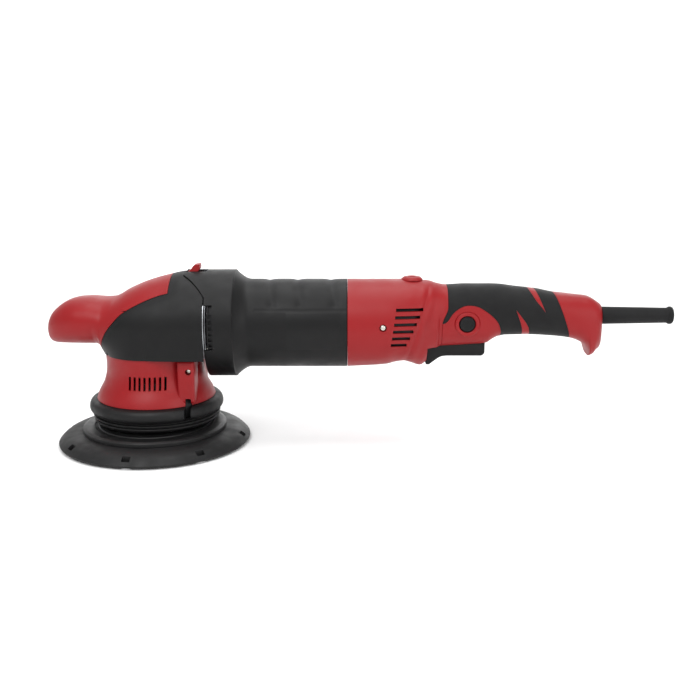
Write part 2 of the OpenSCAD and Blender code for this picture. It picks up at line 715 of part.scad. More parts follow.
module housing_screws() {
    color("silver") for (dir = [-1, 1])
        side_screw(motor_end + 27, 2.2, -dir * (barrel_r - 1), 12, 2.5, 1.55, dir);
}

module handle_screws() {
    color("silver") for (p = screw_at) side_screw(p[0], p[1], p[2] + 0.3, p[2] + 8, 3.3, 1.5, -1);
}

module shroud_screws() {
    color("silver") for (side = [-1, 1])
        side_screw(lug_screw_x, -head_drop - lug_screw_drop, side * (shroud_r - 5), 8, 2.25, 1.5, -side);
}

module gearbox_screws() {
    color("silver") flange_screws() union() {
        bar_x(40, 9, 2, 0, axis_z, 32);
        bar_x(46.2, 3.6, 3.6, 0, axis_z, 32);
    }
}

// ---- motor ----

module armature_shaft() {
    color("silver") union() {
        bar_x(16, 10.5, 3.2);
        bar_x(26.5, bracket_x + 8 - 26.5, shaft_r);
        bar_x(front_bearing_x, front_bearing_l + 2, 5 - run_gap);
    }
}

module armature_core() {
    slots = 12;
    color("dimgray") difference() {
        tube_x(stator_x, core_l, 16.8, shaft_r);
        for (k = [0:slots - 1]) rotate_about_motor(360 / slots * k)
            box(stator_x - 1, stator_x + core_l + 1, -1, 1, axis_z + 15.2, axis_z + 18);
    }
}

module armature_windings() {
    color("chocolate") for (x = [stator_x - 7, stator_x + core_l]) tube_x(x, 7, 14.6, shaft_r);
}

module commutator() {
    bars = 24;
    color("peru") difference() {
        tube_x(comm_x, comm_l, 11.5, shaft_r);
        for (k = [0:bars - 1]) rotate_about_motor(360 / bars * k)
            box(comm_x - 1, comm_x + comm_l - 2, -0.3, 0.3, axis_z + 10.9, axis_z + 12);
    }
}

module fan() {
    blades = 11;
    fan_r = collar_r - collar_wall - 7;
    x0 = 52;
    color("#e8e4d8") union() {
        tube_x(x0, 11, 8, shaft_r);
        tube_x(x0, 1.8, fan_r, 7);
        for (k = [0:blades - 1]) rotate_about_motor(360 / blades * k)
            box(x0 + 1, x0 + 10.5, -0.7, 0.7, axis_z + 7.5, axis_z + fan_r - 0.5);
    }
}

module fan_baffle() {
    color("#444444") tube_x(shoulder_x - 2.7, 1.6, collar_r - collar_wall, 22);
}

module bearing_x(x, l, r_out, r_in) {
    color("lightsteelblue") difference() {
        tube_x(x, l, r_out, r_in);
        for (end = [x - 1, x + l - 0.6]) tube_x(end, 1.6, r_out - (r_out - r_in) * 0.3, r_in + (r_out - r_in) * 0.3);
    }
}

module bearing_z(z, l, r_out, r_in, y = 0) {
    color("lightsteelblue") difference() {
        tube_z(z, l, r_out, r_in, y);
        for (end = [z - 1, z + l - 0.6])
            tube_z(end, 1.6, r_out - (r_out - r_in) * 0.3, r_in + (r_out - r_in) * 0.3, y);
    }
}

module front_bearing() { bearing_x(front_bearing_x, front_bearing_l, front_bearing_r, 5); }

module rear_bearing() { bearing_x(bracket_x + 1, 7, 11, shaft_r + run_gap); }

module rear_bracket() {
    color("#333333") difference() {
        union() {
            bar_x(bracket_x, 3, barrel_r - barrel_wall);
            bar_x(bracket_x, 9, 14.5);
        }
        bar_x(bracket_x + 1, 10, 11);
        bar_x(bracket_x - 1, 4, 6);
        for (k = [0:5]) rotate_about_motor(60 * k + 30) bar_x(bracket_x - 1, 6, 5, 0, axis_z + 22);
    }
}

module stator_core() {
    color("slategray") difference() {
        tube_x(stator_x, core_l, barrel_r - barrel_wall, 17.4);
        for (side = [-1, 1]) box(stator_x - 1, stator_x + core_l + 1, side < 0 ? -27 : 8, side < 0 ? -8 : 27,
            axis_z - 4, axis_z + 4);
    }
}

module field_coils() {
    color("chocolate") for (x = [stator_x - 6, stator_x + core_l]) difference() {
        tube_x(x, 6, 29, 19.5);
        box(x - 1, x + 7, -40, 40, axis_z - 6, axis_z + 6);
    }
}

module brush_holders() {
    x = comm_x + comm_l / 2;
    color("goldenrod") for (side = [0, 1]) mirror([0, side, 0]) difference() {
        box(x - 5, bracket_x, 12.8, 27, axis_z - 5, axis_z + 5);
        box(x - 3.2, x + 3.2, 10, 26, axis_z - 3.6, axis_z + 3.6);
        box(x + 5, bracket_x + 1, 10, 26, axis_z - 3.6, axis_z + 3.6);
    }
}

module carbon_brushes() {
    x = comm_x + comm_l / 2;
    color("#222222") for (side = [0, 1]) mirror([0, side, 0])
        box(x - 3.2, x + 3.2, 11.8, 24, axis_z - 3.6, axis_z + 3.6);
}

// ---- gears and spindles ----

// A point at distance d from the meeting point of the axes, at cone angle c and azimuth a about -Z or +X.
function ring_point(d, c, a) = [d * sin(c) * cos(a), d * sin(c) * sin(a), axis_z - d * cos(c)];
function pinion_point(d, c, a) = [d * cos(c), d * sin(c) * sin(a), axis_z + d * sin(c) * cos(a)];

// One tooth in four steps of its pitch: root, rise, tip, fall. Each is [share of the pitch, angle over the pitch cone].
tip_angle = atan(0.75 * gear_m / cone_l);
root_angle = -atan(1.2 * gear_m / cone_l);
tooth_steps = [[0, tip_angle], [0.13, tip_angle], [0.25, root_angle], [0.75, root_angle], [0.87, tip_angle]];

module ring_gear() {
    count = ring_teeth;
    flat_in = spindle_r + 0.4;
    steps = [for (k = [0:count - 1], t = tooth_steps) [360 / count * (k + 0.5 + t[0]), 90 - pinion_angle + t[1]]];
    color("darkgray") wrap([
        [for (q = steps) ring_point(cone_l, q[1], q[0])],
        [for (q = steps) ring_point(cone_in, q[1], q[0])],
        [for (q = steps) [flat_in * cos(q[0]), flat_in * sin(q[0]), gear_base + 3]],
        [for (q = steps) [flat_in * cos(q[0]), flat_in * sin(q[0]), gear_base]],
        [for (q = steps) [(cone_l - 2) * cos(q[0]), (cone_l - 2) * sin(q[0]), gear_base]]]);
}

module pinion() {
    count = pinion_teeth;
    steps = [for (k = [0:count - 1], t = tooth_steps) [180 + 360 / count * (k + t[0]), pinion_angle + t[1]]];
    bore = 3;
    color("darkgray") wrap([
        [for (q = steps) pinion_point(cone_in, q[1], q[0])],
        [for (q = steps) pinion_point(cone_l, q[1], q[0])],
        [for (q = steps) [cone_l + 2, 5 * sin(q[0]), axis_z + 5 * cos(q[0])]],
        [for (q = steps) [cone_l + 2, bore * sin(q[0]), axis_z + bore * cos(q[0])]],
        [for (q = steps) [cone_in, bore * sin(q[0]), axis_z + bore * cos(q[0])]]]);
}

// A closed ring-shaped skin over loops, the last joined to the first.
module wrap(loops) {
    n = len(loops[0]);
    m = len(loops);
    polyhedron(points = [for (l = loops, p = l) p],
        faces = [for (j = [0:m - 1], i = [0:n - 1], t = [0, 1]) let (a = j * n, b = (j + 1) % m * n, k = (i + 1) % n)
            t == 0 ? [a + i, a + k, b + k] : [a + i, b + k, b + i]], convexity = 10);
}

module spindle() {
    color("silver") union() {
        translate([0, 0, weight_top - 8]) cylinder(r = spindle_r, h = gear_base - weight_top + 8);
        translate([0, 0, gear_base - 1.2]) cylinder(r = spindle_r + 2, h = 1.2);
        translate([0, 0, gear_base]) cylinder(r = spindle_r + 0.4, h = 3);
        translate([0, 0, gear_base]) cylinder(r = 6, h = upper_z + upper_l - gear_base);
    }
}

module upper_bearing() { bearing_z(upper_z, upper_l, 9, 6 + run_gap); }

module lower_bearing() { bearing_z(lower_z, lower_l, lower_bearing_r, spindle_r + run_gap); }

module counterweight() {
    color("dimgray") difference() {
        union() {
            translate([0, -e, cup_z]) cylinder(r = pad_bearing_r + 3, h = cup_top - cup_z + 2);
            intersection() {
                translate([0, 0, cup_top]) cylinder(r = 28, h = weight_top - cup_top);
                box(-40, 40, -weight_cut, 40, 0, 200);
            }
            intersection() {
                translate([0, 0, cup_z]) cylinder(r = weight_r, h = weight_top - cup_z);
                box(-40, 40, 3, 40, 0, 200);
            }
        }
        translate([0, -e, cup_z - 1]) cylinder(r = pad_bearing_r, h = cup_top - cup_z + 1);
        translate([0, 0, weight_top - 8]) cylinder(r = spindle_r, h = 10);
    }
}

module pad_bearings() {
    for (k = [0, 1])
        bearing_z(cup_z + 1.4 + k * pad_bearing_l, pad_bearing_l, pad_bearing_r, pad_spindle_r + run_gap, -e);
}

module pad_spindle() {
    color("silver") translate([0, -e, 0]) difference() {
        union() {
            translate([0, 0, hub_z]) cylinder(r = 15, h = 5);
            translate([0, 0, hub_z]) cylinder(r = pad_spindle_r + 2, h = cup_z + 1.1 - hub_z);
            translate([0, 0, hub_z]) cylinder(r = pad_spindle_r, h = cup_top - 0.3 - hub_z);
        }
        translate([0, 0, hub_z - 1]) cylinder(r = 4, h = 17);
    }
}

module plate_hub() {
    color("#2a2a2a") difference() {
        union() {
            translate([0, -e, foam_z]) cylinder(d = hub_d, h = hub_t - 0.8);
            translate([0, -e, foam_z]) cylinder(d = hub_d - 4, h = hub_t);
        }
        translate([0, -e, 0]) cylinder(r = 4.1, h = 40);
    }
}

window_out = plate_r - 2.6;
window_in = plate_r - 6.8;
module rim_windows() {
    for (k = [0:window_count - 1]) translate([0, -e, 0]) rotate([0, 0, -97 + 360 / window_count * k])
        box(window_in, window_out, -3.2, 3.2, -1, foam_z + 1);
}

module plate_foam() {
    step = plate_r - hub_d / 2;
    color("#333333") difference() {
        translate([0, -e, 0]) rotate_extrude() polygon([[plate_hole_r, hook_t], [plate_r - 0.6, hook_t], [plate_r, hook_t + 0.8],
            [plate_r - step * 0.23, hook_t + foam_t * 0.62], [plate_r - step * 0.56, foam_z - 0.8],
            [hub_d / 2, foam_z], [plate_hole_r, foam_z]]);
        rim_windows();
    }
}

module hook_face() {
    color("#444444") difference() {
        translate([0, -e, 0]) cylinder(r = plate_r - 1, h = hook_t);
        translate([0, -e, -1]) cylinder(r = plate_hole_r, h = 5);
        rim_windows();
    }
}

module plate_bolt() {
    color("silver") translate([0, -e, 0]) union() {
        translate([0, 0, foam_z - 6.6]) cylinder(r = 6.4, h = 5, $fn = 6);
        translate([0, 0, foam_z - 1.6]) cylinder(r = 4, h = hub_t + 16);
    }
}

module plate_washer() { color("silver") tube_z(foam_z - 1.6, 1.6, 7.4, 4.1, -e); }

nose_grip();
head_cover_left();
head_cover_right();
gear_housing();
bearing_plate();
shroud();
bumper_ring();
motor_housing();
exhaust_grilles();
lock_slider();
slider_track();
handle_left();
handle_right();
grip_left();
grip_right();
switch_surround_left();
switch_surround_right();
hanger_boss();
trigger();
trigger_pin();
lock_button();
switch_body();
switch_plunger();
switch_spring();
speed_dial();
speed_module();
capacitor();
cord_boot();
cord_clamp();
inner_leads();
housing_screws();
handle_screws();
shroud_screws();
gearbox_screws();
armature_shaft();
armature_core();
armature_windings();
commutator();
fan();
fan_baffle();
front_bearing();
rear_bearing();
rear_bracket();
pinion();
ring_gear();
spindle();
upper_bearing();
lower_bearing();
counterweight();
pad_bearings();
pad_spindle();
plate_hub();
plate_foam();
hook_face();
plate_bolt();
plate_washer();
stator_core();
field_coils();
brush_holders();
carbon_brushes();
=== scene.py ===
# Dual action polisher: moulded shells, rubber, backing plate and hardware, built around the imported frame.
import json
import math

import bmesh
import bpy
import numpy as np
from mathutils import Matrix, Vector


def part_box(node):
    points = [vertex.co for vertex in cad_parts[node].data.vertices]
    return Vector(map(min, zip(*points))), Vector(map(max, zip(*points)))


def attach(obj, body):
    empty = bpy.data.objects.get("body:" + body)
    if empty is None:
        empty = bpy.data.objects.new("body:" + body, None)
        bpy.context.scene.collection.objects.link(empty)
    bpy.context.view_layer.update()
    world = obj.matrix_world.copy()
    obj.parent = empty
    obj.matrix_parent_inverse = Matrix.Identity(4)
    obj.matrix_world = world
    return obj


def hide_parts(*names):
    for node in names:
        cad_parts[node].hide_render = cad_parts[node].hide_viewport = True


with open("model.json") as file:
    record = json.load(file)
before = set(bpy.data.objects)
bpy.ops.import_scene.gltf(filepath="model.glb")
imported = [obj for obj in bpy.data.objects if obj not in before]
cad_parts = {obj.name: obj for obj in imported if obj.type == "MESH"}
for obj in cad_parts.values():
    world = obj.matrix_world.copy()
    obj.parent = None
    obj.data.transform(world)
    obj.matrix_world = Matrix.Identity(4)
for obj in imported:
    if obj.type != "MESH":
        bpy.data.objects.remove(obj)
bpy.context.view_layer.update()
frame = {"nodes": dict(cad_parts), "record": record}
mm = 0.001
print("frame loaded:", len(frame["nodes"]), "nodes")


# ---- places, all in millimetres and all read from the frame ----

def nodeBox(node):
    low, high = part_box(node)
    return np.array(low) / mm, np.array(high) / mm


def nodeMiddle(node):
    low, high = nodeBox(node)
    return (low + high) / 2


axisZ = nodeMiddle("armature_shaft")[2]
padY = nodeMiddle("hook_face")[1]
motorEnd = nodeBox("motor_housing")[1][0]
windowInset = 2.8
motorStart = nodeBox("exhaust_grilles")[0][0] - windowInset
tailEnd = nodeBox("handle_left")[1][0]
headZ = nodeBox("shroud")[1][2]
bossRise = 2.4
barrelR = nodeBox("hanger_boss")[1][2] - axisZ - bossRise
collarR = nodeBox("motor_housing")[1][1]
buttonX, buttonZ = nodeMiddle("lock_button")[0], nodeMiddle("lock_button")[2]
gripStart = nodeBox("grip_left")[0][0]
sides = ((-1, "Left"), (1, "Right"))


def across(side, inner, outer):
    return sorted((side * inner, side * outer))


# ---- nodes ----

def addNode(tree, kind, inputs=None, **settings):
    node = tree.nodes.new(kind)
    for key, value in settings.items():
        setattr(node, key, value)
    for key, value in (inputs or {}).items():
        if isinstance(value, tuple) and isinstance(value[0], bpy.types.Node):
            tree.links.new(value[0].outputs[value[1]], node.inputs[key])
        else:
            node.inputs[key].default_value = value
    return node


def linearColour(code):
    parts = [int(code[i:i + 2], 16) / 255 for i in (1, 3, 5)]
    return [p / 12.92 if p <= 0.04045 else ((p + 0.055) / 1.055) ** 2.4 for p in parts] + [1.0]


# ---- materials ----

def newMaterial(name):
    material = bpy.data.materials.new(name)
    material.use_nodes = True
    tree = material.node_tree
    tree.nodes.clear()
    shader = addNode(tree, "ShaderNodeBsdfPrincipled")
    addNode(tree, "ShaderNodeOutputMaterial", {"Surface": (shader, "BSDF")})
    place = addNode(tree, "ShaderNodeTexCoord")
    return material, tree, shader, place


# Two shades of one colour, drifting into each other over a length in metres.
def driftColour(tree, shader, place, colour, shade, length):
    slow = addNode(tree, "ShaderNodeTexNoise", {"Vector": (place, "Object"), "Scale": 1 / length,
        "Detail": 3.0})
    mix = addNode(tree, "ShaderNodeMix", {"Factor": (slow, "Fac")}, data_type="RGBA")
    mix.inputs["A"].default_value = linearColour(colour)
    mix.inputs["B"].default_value = linearColour(shade)
    tree.links.new(mix.outputs["Result"], shader.inputs["Base Color"])


# A moulded surface: mould grain in the bump, slow colour drift, and handling polish in the roughness.
def moulded(name, colour, drift, roughness, grain, depth, polish=0.06, sheen=0.0, specular=0.5):
    material, tree, shader, place = newMaterial(name)
    driftColour(tree, shader, place, colour, drift, 0.045)
    rub = addNode(tree, "ShaderNodeTexNoise", {"Vector": (place, "Object"), "Scale": 1 / 0.012,
        "Detail": 5.0})
    rough = addNode(tree, "ShaderNodeMapRange", {"Value": (rub, "Fac"), "From Min": 0.3, "From Max": 0.7,
        "To Min": roughness - polish, "To Max": roughness + polish})
    tree.links.new(rough.outputs["Result"], shader.inputs["Roughness"])
    cell = addNode(tree, "ShaderNodeTexVoronoi", {"Vector": (place, "Object"), "Scale": 1 / (grain * mm)},
        feature="SMOOTH_F1")
    fine = addNode(tree, "ShaderNodeTexNoise", {"Vector": (place, "Object"), "Scale": 2.2 / (grain * mm),
        "Detail": 2.0})
    both = addNode(tree, "ShaderNodeMath", {0: (cell, "Distance"), 1: (fine, "Fac")}, operation="ADD")
    bump = addNode(tree, "ShaderNodeBump", {"Height": (both, "Value"), "Strength": 0.35,
        "Distance": depth * mm})
    tree.links.new(bump.outputs["Normal"], shader.inputs["Normal"])
    shader.inputs["IOR"].default_value = 1.5
    shader.inputs["Specular IOR Level"].default_value = specular
    if sheen:
        shader.inputs["Sheen Weight"].default_value = sheen
        shader.inputs["Sheen Roughness"].default_value = 0.5
    return material


# A metal: a pattern runs across or round it, and its roughness varies along the same marks.
def worked(name, colour, stain, roughness, pattern, size, depth):
    material, tree, shader, place = newMaterial(name)
    stretch = {"turned": (0.02, 1, 1), "cast": (1, 1, 1), "laminated": (1, 0.02, 0.02),
        "wound": (0.3, 1, 1)}[pattern]
    turn = addNode(tree, "ShaderNodeMapping", {"Vector": (place, "Object"), "Scale": stretch})
    marks = addNode(tree, "ShaderNodeTexNoise", {"Vector": (turn, "Vector"), "Scale": 1 / (size * mm),
        "Detail": 4.0})
    driftColour(tree, shader, place, colour, stain, 0.02)
    rough = addNode(tree, "ShaderNodeMapRange", {"Value": (marks, "Fac"), "To Min": roughness * 0.7,
        "To Max": roughness * 1.3})
    tree.links.new(rough.outputs["Result"], shader.inputs["Roughness"])
    bump = addNode(tree, "ShaderNodeBump", {"Height": (marks, "Fac"), "Strength": 0.5,
        "Distance": depth * mm})
    tree.links.new(bump.outputs["Normal"], shader.inputs["Normal"])
    shader.inputs["Metallic"].default_value = 1.0
    return material


finishes = {
    # injection-moulded ABS, spark-eroded satin mould: deep red with a soft broad highlight
    "red_abs": moulded("red ABS, satin moulded", "#8C0B11", "#80090E", 0.44, 0.7, 0.03, specular=0.3),
    # glass-filled nylon, fine grained: charcoal, with a wide dull highlight
    "black_nylon": moulded("black glass-filled nylon, grained", "#09090A", "#070708", 0.5, 0.8, 0.04,
        specular=0.24),
    # overmoulded thermoplastic elastomer: matte and slightly dusty
    "black_rubber": moulded("black TPE overmould, matte", "#0E0E0F", "#0B0B0C", 0.66, 0.9, 0.05, sheen=0.02,
        specular=0.24),
    # moulded rubber bumper: darkest piece, dull with handling polish
    "bumper_rubber": moulded("bumper rubber, moulded", "#0D0D0E", "#0A0A0B", 0.56, 1.1, 0.05, polish=0.1,
        specular=0.3),
    # integral-skin polyurethane foam: fine pores under a closed skin
    "plate_foam": moulded("polyurethane integral skin", "#0E0E0F", "#0B0B0C", 0.58, 1.4, 0.09, polish=0.1,
        specular=0.36),
    # woven nylon hook tape: dull ground between the hooks
    "hook_fabric": moulded("nylon hook tape", "#101112", "#0C0D0E", 0.7, 0.6, 0.1, sheen=0.1),
    # glass-filled nylon, moulded smooth for the hub and inner brackets
    "glass_nylon": moulded("black glass-filled nylon, smooth", "#0D0D0E", "#0A0A0B", 0.46, 0.6, 0.03,
    specular=0.36),
    # pressure die-cast aluminium, shot blasted: pale grey with a sandy tooth
    "die_cast": worked("die-cast aluminium, blasted", "#B9BCC0", "#A9ACB0", 0.42, "cast", 0.7, 0.04),
    # ground and turned steel: bright, with fine rings across the shaft
    "bright_steel": worked("bright turned steel", "#C8CACC", "#B9BBBE", 0.24, "turned", 0.5, 0.01),
    # zinc plate over steel: warm bright screw heads
    "zinc_steel": worked("zinc plated steel", "#DAD8CF", "#C9C7BE", 0.26, "cast", 1.2, 0.01),
    # oiled silicon steel stampings: dark grey leaves stacked along the shaft
    "dark_steel": worked("oiled lamination steel", "#76787B", "#5C5E61", 0.38, "laminated", 0.9, 0.06),
    # grey cast iron: dark, rough and slightly mottled
    "cast_weight": worked("grey cast iron", "#5A5B5D", "#48494B", 0.55, "cast", 1.6, 0.09),
    # enamelled copper wire: wound strands with a varnish shine
    "copper": worked("enamelled copper wire", "#B8683C", "#9C5530", 0.3, "wound", 0.9, 0.12),
    # pressed brass: yellow with light handling stains
    "brass": worked("pressed brass", "#C8A14F", "#B48E42", 0.3, "cast", 1.0, 0.01),
    # pressed carbon: matte graphite grey
    "carbon": moulded("pressed carbon", "#2B2B2D", "#232325", 0.6, 0.5, 0.04),
    # natural nylon: ivory, faintly waxy
    "white_nylon": moulded("natural nylon", "#E4DFD0", "#DCD6C5", 0.42, 0.8, 0.02),
    # green solder mask under clear potting
    "circuit": moulded("potted circuit board", "#1F5138", "#194530", 0.28, 1.5, 0.03),
    # plasticised PVC insulation: soft brown
    "pvc": moulded("PVC insulation", "#5A3A28", "#4E3222", 0.4, 0.6, 0.02),
}
# A glossier label film with nothing printed on it: reads as a smoother dark patch on the grained barrel.
labelFilm = moulded("blank polyester label", "#0A0A0B", "#09090A", 0.44, 2.0, 0.005, polish=0.02,
    specular=0.24)
print("materials made:", len(finishes) + 1)


# ---- mesh helpers ----

def link(thing):
    bpy.context.scene.collection.objects.link(thing)
    return thing


def makeMesh(name, points, faces):
    mesh = bpy.data.meshes.new(name)
    mesh.from_pydata([tuple(p) for p in np.asarray(points, float) * mm], [],
        [tuple(map(int, f)) for f in faces])
    work = bmesh.new()
    work.from_mesh(mesh)
    bmesh.ops.remove_doubles(work, verts=work.verts, dist=1e-7)
    bmesh.ops.recalc_face_normals(work, faces=work.faces)
    work.to_mesh(mesh)
    work.free()
    return link(bpy.data.objects.new(name, mesh))


sharpAngle = 34


def smooth(piece):
    piece.data.shade_smooth()
    piece.data.set_sharp_from_angle(angle=math.radians(sharpAngle))
    return piece


# Turns a piece and its modifiers into a plain mesh.
def settle(piece):
    bpy.context.view_layer.update()
    graph = bpy.context.evaluated_depsgraph_get()
    mesh = bpy.data.meshes.new_from_object(piece.evaluated_get(graph), depsgraph=graph)
    piece.modifiers.clear()
    piece.data = mesh
    return smooth(piece)


def combine(piece, others, how="DIFFERENCE"):
    for other in others:
        step = piece.modifiers.new("step", "BOOLEAN")
        step.operation = how
        step.solver = "MANIFOLD"
        step.object = other
    return settle(piece)


def copyOf(piece, name):
    twin = bpy.data.objects.new(name, piece.data.copy())
    return link(twin)


def discard(*things):
    for thing in things:
        bpy.data.objects.remove(thing)


def rounded(piece, width, segments=3, angle=35):
    bevel = piece.modifiers.new("edge", "BEVEL")
    bevel.width = width * mm
    bevel.segments = segments
    bevel.limit_method = "ANGLE"
    bevel.angle_limit = math.radians(angle)
    return settle(piece)


# Corners of an outline turned into short curves; each corner is (a, b, radius).
def filleted(corners, steps=5):
    result = []
    count = len(corners)
    for i, (a, b, radius) in enumerate(corners):
        here = np.array([a, b], float)
        if radius <= 0:
            result.append(here)
            continue
        back = np.array(corners[i - 1][:2], float) - here
        ahead = np.array(corners[(i + 1) % count][:2], float) - here
        reach = min(radius, 0.48 * np.linalg.norm(back), 0.48 * np.linalg.norm(ahead))
        start = here + back / np.linalg.norm(back) * reach
        end = here + ahead / np.linalg.norm(ahead) * reach
        for t in np.linspace(0, 1, steps + 1):
            result.append((1 - t) ** 2 * start + 2 * t * (1 - t) * here + t ** 2 * end)
    return result


# A smooth closed or open curve through a few chosen points.
def curveThrough(points, closed=False, steps=8):
    pts = [np.array(p, float) for p in points]
    count = len(pts)
    result = []
    for i in range(count if closed else count - 1):
        p0 = pts[i - 1] if closed or i else 2 * pts[0] - pts[1]
        p1, p2 = pts[i], pts[(i + 1) % count]
        p3 = pts[(i + 2) % count] if closed or i + 2 < count else 2 * pts[-1] - pts[-2]
        for t in np.arange(steps) / steps:
            result.append(0.5 * (2 * p1 + (p2 - p0) * t + (2 * p0 - 5 * p1 + 4 * p2 - p3) * t ** 2
                + (3 * p1 - p0 - 3 * p2 + p3) * t ** 3))
    if not closed:
        result.append(pts[-1])
    return result


# Turns a closed profile of (radius, height) about an axis through centre.
def lathe(name, profile, centre, axis="z", steps=128):
    profile = np.array(profile, float)
    turns = np.linspace(0, 2 * math.pi, steps, endpoint=False)
    cos, sin = np.cos(turns)[:, None], np.sin(turns)[:, None]
    radius, height = profile[:, 0][None], profile[:, 1][None] + 0 * cos
    order = {"z": (radius * cos, radius * sin, height), "x": (height, radius * cos, radius * sin),
        "y": (radius * sin, height, radius * cos)}[axis]
    points = np.stack(order, axis=-1) + np.array(centre, float)
    return skinOver(name, points, ringClosed=True)


# Faces over a grid of loops: each loop is closed, and the loops are closed into a ring or capped.
def skinOver(name, loops, ringClosed=False):
    loops = np.asarray(loops, float)
    rows, count = loops.shape[:2]
    faces = []
    for j in range(rows if ringClosed else rows - 1):
        k = (j + 1) % rows
        for i in range(count):
            n = (i + 1) % count
            faces.append((j * count + i, j * count + n, k * count + n, k * count + i))
    points = loops.reshape(-1, 3)
    if not ringClosed:
        ends = np.array([loops[0].mean(axis=0), loops[-1].mean(axis=0)])
        points = np.concatenate([points, ends])
        last = (rows - 1) * count
        for i in range(count):
            n = (i + 1) % count
            faces.append((rows * count, n, i))
            faces.append((rows * count + 1, last + i, last + n))
    return makeMesh(name, points, faces)


# An outline in X and Z as a plate between two values of Y, or upright: one in X and Y between two of Z.
def prism(name, outline, start, end, upright=False):
    outline = np.array([p[:2] for p in outline], float)
    count = len(outline)
    points = [(p[0], p[1], at) if upright else (p[0], at, p[1]) for at in (start, end) for p in outline]
    faces = [tuple(range(count)), tuple(range(2 * count - 1, count - 1, -1))]
    faces += [(i, i + count, (i + 1) % count + count, (i + 1) % count) for i in range(count)]
    return makeMesh(name, points, faces)


def block(name, low, high):
    (x0, y0, z0), (x1, y1, z1) = low, high
    return prism(name, [(x0, z0), (x1, z0), (x1, z1), (x0, z1)], y0, y1)


# A round bar along Y.
def pegY(name, x, z, y0, y1, radius, steps=48):
    turns = np.linspace(0, 2 * math.pi, steps, endpoint=False)
    return prism(name, [(x + radius * math.cos(a), z + radius * math.sin(a)) for a in turns], y0, y1)


def place(piece, body, slot, *nodes, material=None):
    piece.data.materials.clear()
    piece.data.materials.append(material or finishes[slot])
    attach(piece, body)
    if nodes:
        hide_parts(*nodes)
    return piece


# ---- Geometry Nodes for what repeats ----

def newTree(name, sockets):
    tree = bpy.data.node_groups.new(name, "GeometryNodeTree")
    for label, kind in sockets.items():
        tree.interface.new_socket(label, in_out="INPUT", socket_type=kind)
    tree.interface.new_socket("Geometry", in_out="OUTPUT", socket_type="NodeSocketGeometry")
    return tree, addNode(tree, "NodeGroupInput")


def runTree(name, tree, values):
    host = link(bpy.data.objects.new(name, bpy.data.meshes.new(name)))
    step = host.modifiers.new("repeat", "NODES")
    step.node_group = tree
    for item in tree.interface.items_tree:
        if item.in_out == "INPUT":
            step[item.identifier] = values[item.name]
    return settle(host)


def endTree(tree, instances, source):
    real = addNode(tree, "GeometryNodeRealizeInstances", {"Geometry": (instances, "Instances")})
    painted = addNode(tree, "GeometryNodeSetMaterial", {"Geometry": (real, "Geometry"),
        "Material": (source, "Finish")})
    addNode(tree, "NodeGroupOutput", {"Geometry": (painted, "Geometry")})


# A straight row of blocks whose place and size change by one step each.
def rowTree():
    vector, whole = "NodeSocketVector", "NodeSocketInt"
    tree, source = newTree("row of blocks", {"Count": whole, "First": vector, "Step": vector, "Size": vector,
        "Size Step": vector, "Finish": "NodeSocketMaterial"})
    line = addNode(tree, "GeometryNodeMeshLine", {"Count": (source, "Count"),
        "Start Location": (source, "First"),
        "Offset": (source, "Step")})
    index = addNode(tree, "GeometryNodeInputIndex")
    grown = addNode(tree, "ShaderNodeVectorMath", {0: (source, "Size Step"), "Scale": (index, "Index")},
        operation="SCALE")
    size = addNode(tree, "ShaderNodeVectorMath", {0: (source, "Size"), 1: (grown, "Vector")}, operation="ADD")
    cube = addNode(tree, "GeometryNodeMeshCube", {"Size": (1.0, 1.0, 1.0)})
    placed = addNode(tree, "GeometryNodeInstanceOnPoints", {"Points": (line, "Mesh"),
        "Instance": (cube, "Mesh"),
        "Scale": (size, "Vector")})
    endTree(tree, placed, source)
    return tree


# Copies of one shape round the Z axis of a centre.
def ringTree():
    vector = "NodeSocketVector"
    tree, source = newTree("ring of copies", {"Count": "NodeSocketInt", "Centre": vector,
        "Turn": "NodeSocketFloat",
        "Shape": "NodeSocketObject", "Finish": "NodeSocketMaterial"})
    line = addNode(tree, "GeometryNodeMeshLine", {"Count": (source, "Count"),
        "Start Location": (source, "Centre"),
        "Offset": (0.0, 0.0, 0.0)})
    index = addNode(tree, "GeometryNodeInputIndex")
    pitch = addNode(tree, "ShaderNodeMath", {0: 2 * math.pi, 1: (source, "Count")}, operation="DIVIDE")
    angle = addNode(tree, "ShaderNodeMath", {0: (index, "Index"), 1: (pitch, "Value"), 2: (source, "Turn")},
        operation="MULTIPLY_ADD")
    spin = addNode(tree, "ShaderNodeCombineXYZ", {"Z": (angle, "Value")})
    shape = addNode(tree, "GeometryNodeObjectInfo", {"Object": (source, "Shape")})
    placed = addNode(tree, "GeometryNodeInstanceOnPoints", {"Points": (line, "Mesh"),
        "Instance": (shape, "Geometry"),
        "Rotation": (spin, "Vector")})
    endTree(tree, placed, source)
    return tree


# One shape on every point of another mesh.
def scatterTree():
    thing = "NodeSocketObject"
    tree, source = newTree("copies on points", {"Points": thing, "Shape": thing,
        "Turn Step": "NodeSocketFloat",
        "Finish": "NodeSocketMaterial"})
    spots = addNode(tree, "GeometryNodeObjectInfo", {"Object": (source, "Points")})
    shape = addNode(tree, "GeometryNodeObjectInfo", {"Object": (source, "Shape")})
    index = addNode(tree, "GeometryNodeInputIndex")
    angle = addNode(tree, "ShaderNodeMath", {0: (index, "Index"), 1: (source, "Turn Step")},
        operation="MULTIPLY")
    spin = addNode(tree, "ShaderNodeCombineXYZ", {"Z": (angle, "Value")})
    placed = addNode(tree, "GeometryNodeInstanceOnPoints", {"Points": (spots, "Geometry"),
        "Instance": (shape, "Geometry"), "Rotation": (spin, "Vector")})
    endTree(tree, placed, source)
    return tree


blockRow, copyRing, copyScatter = rowTree(), ringTree(), scatterTree()


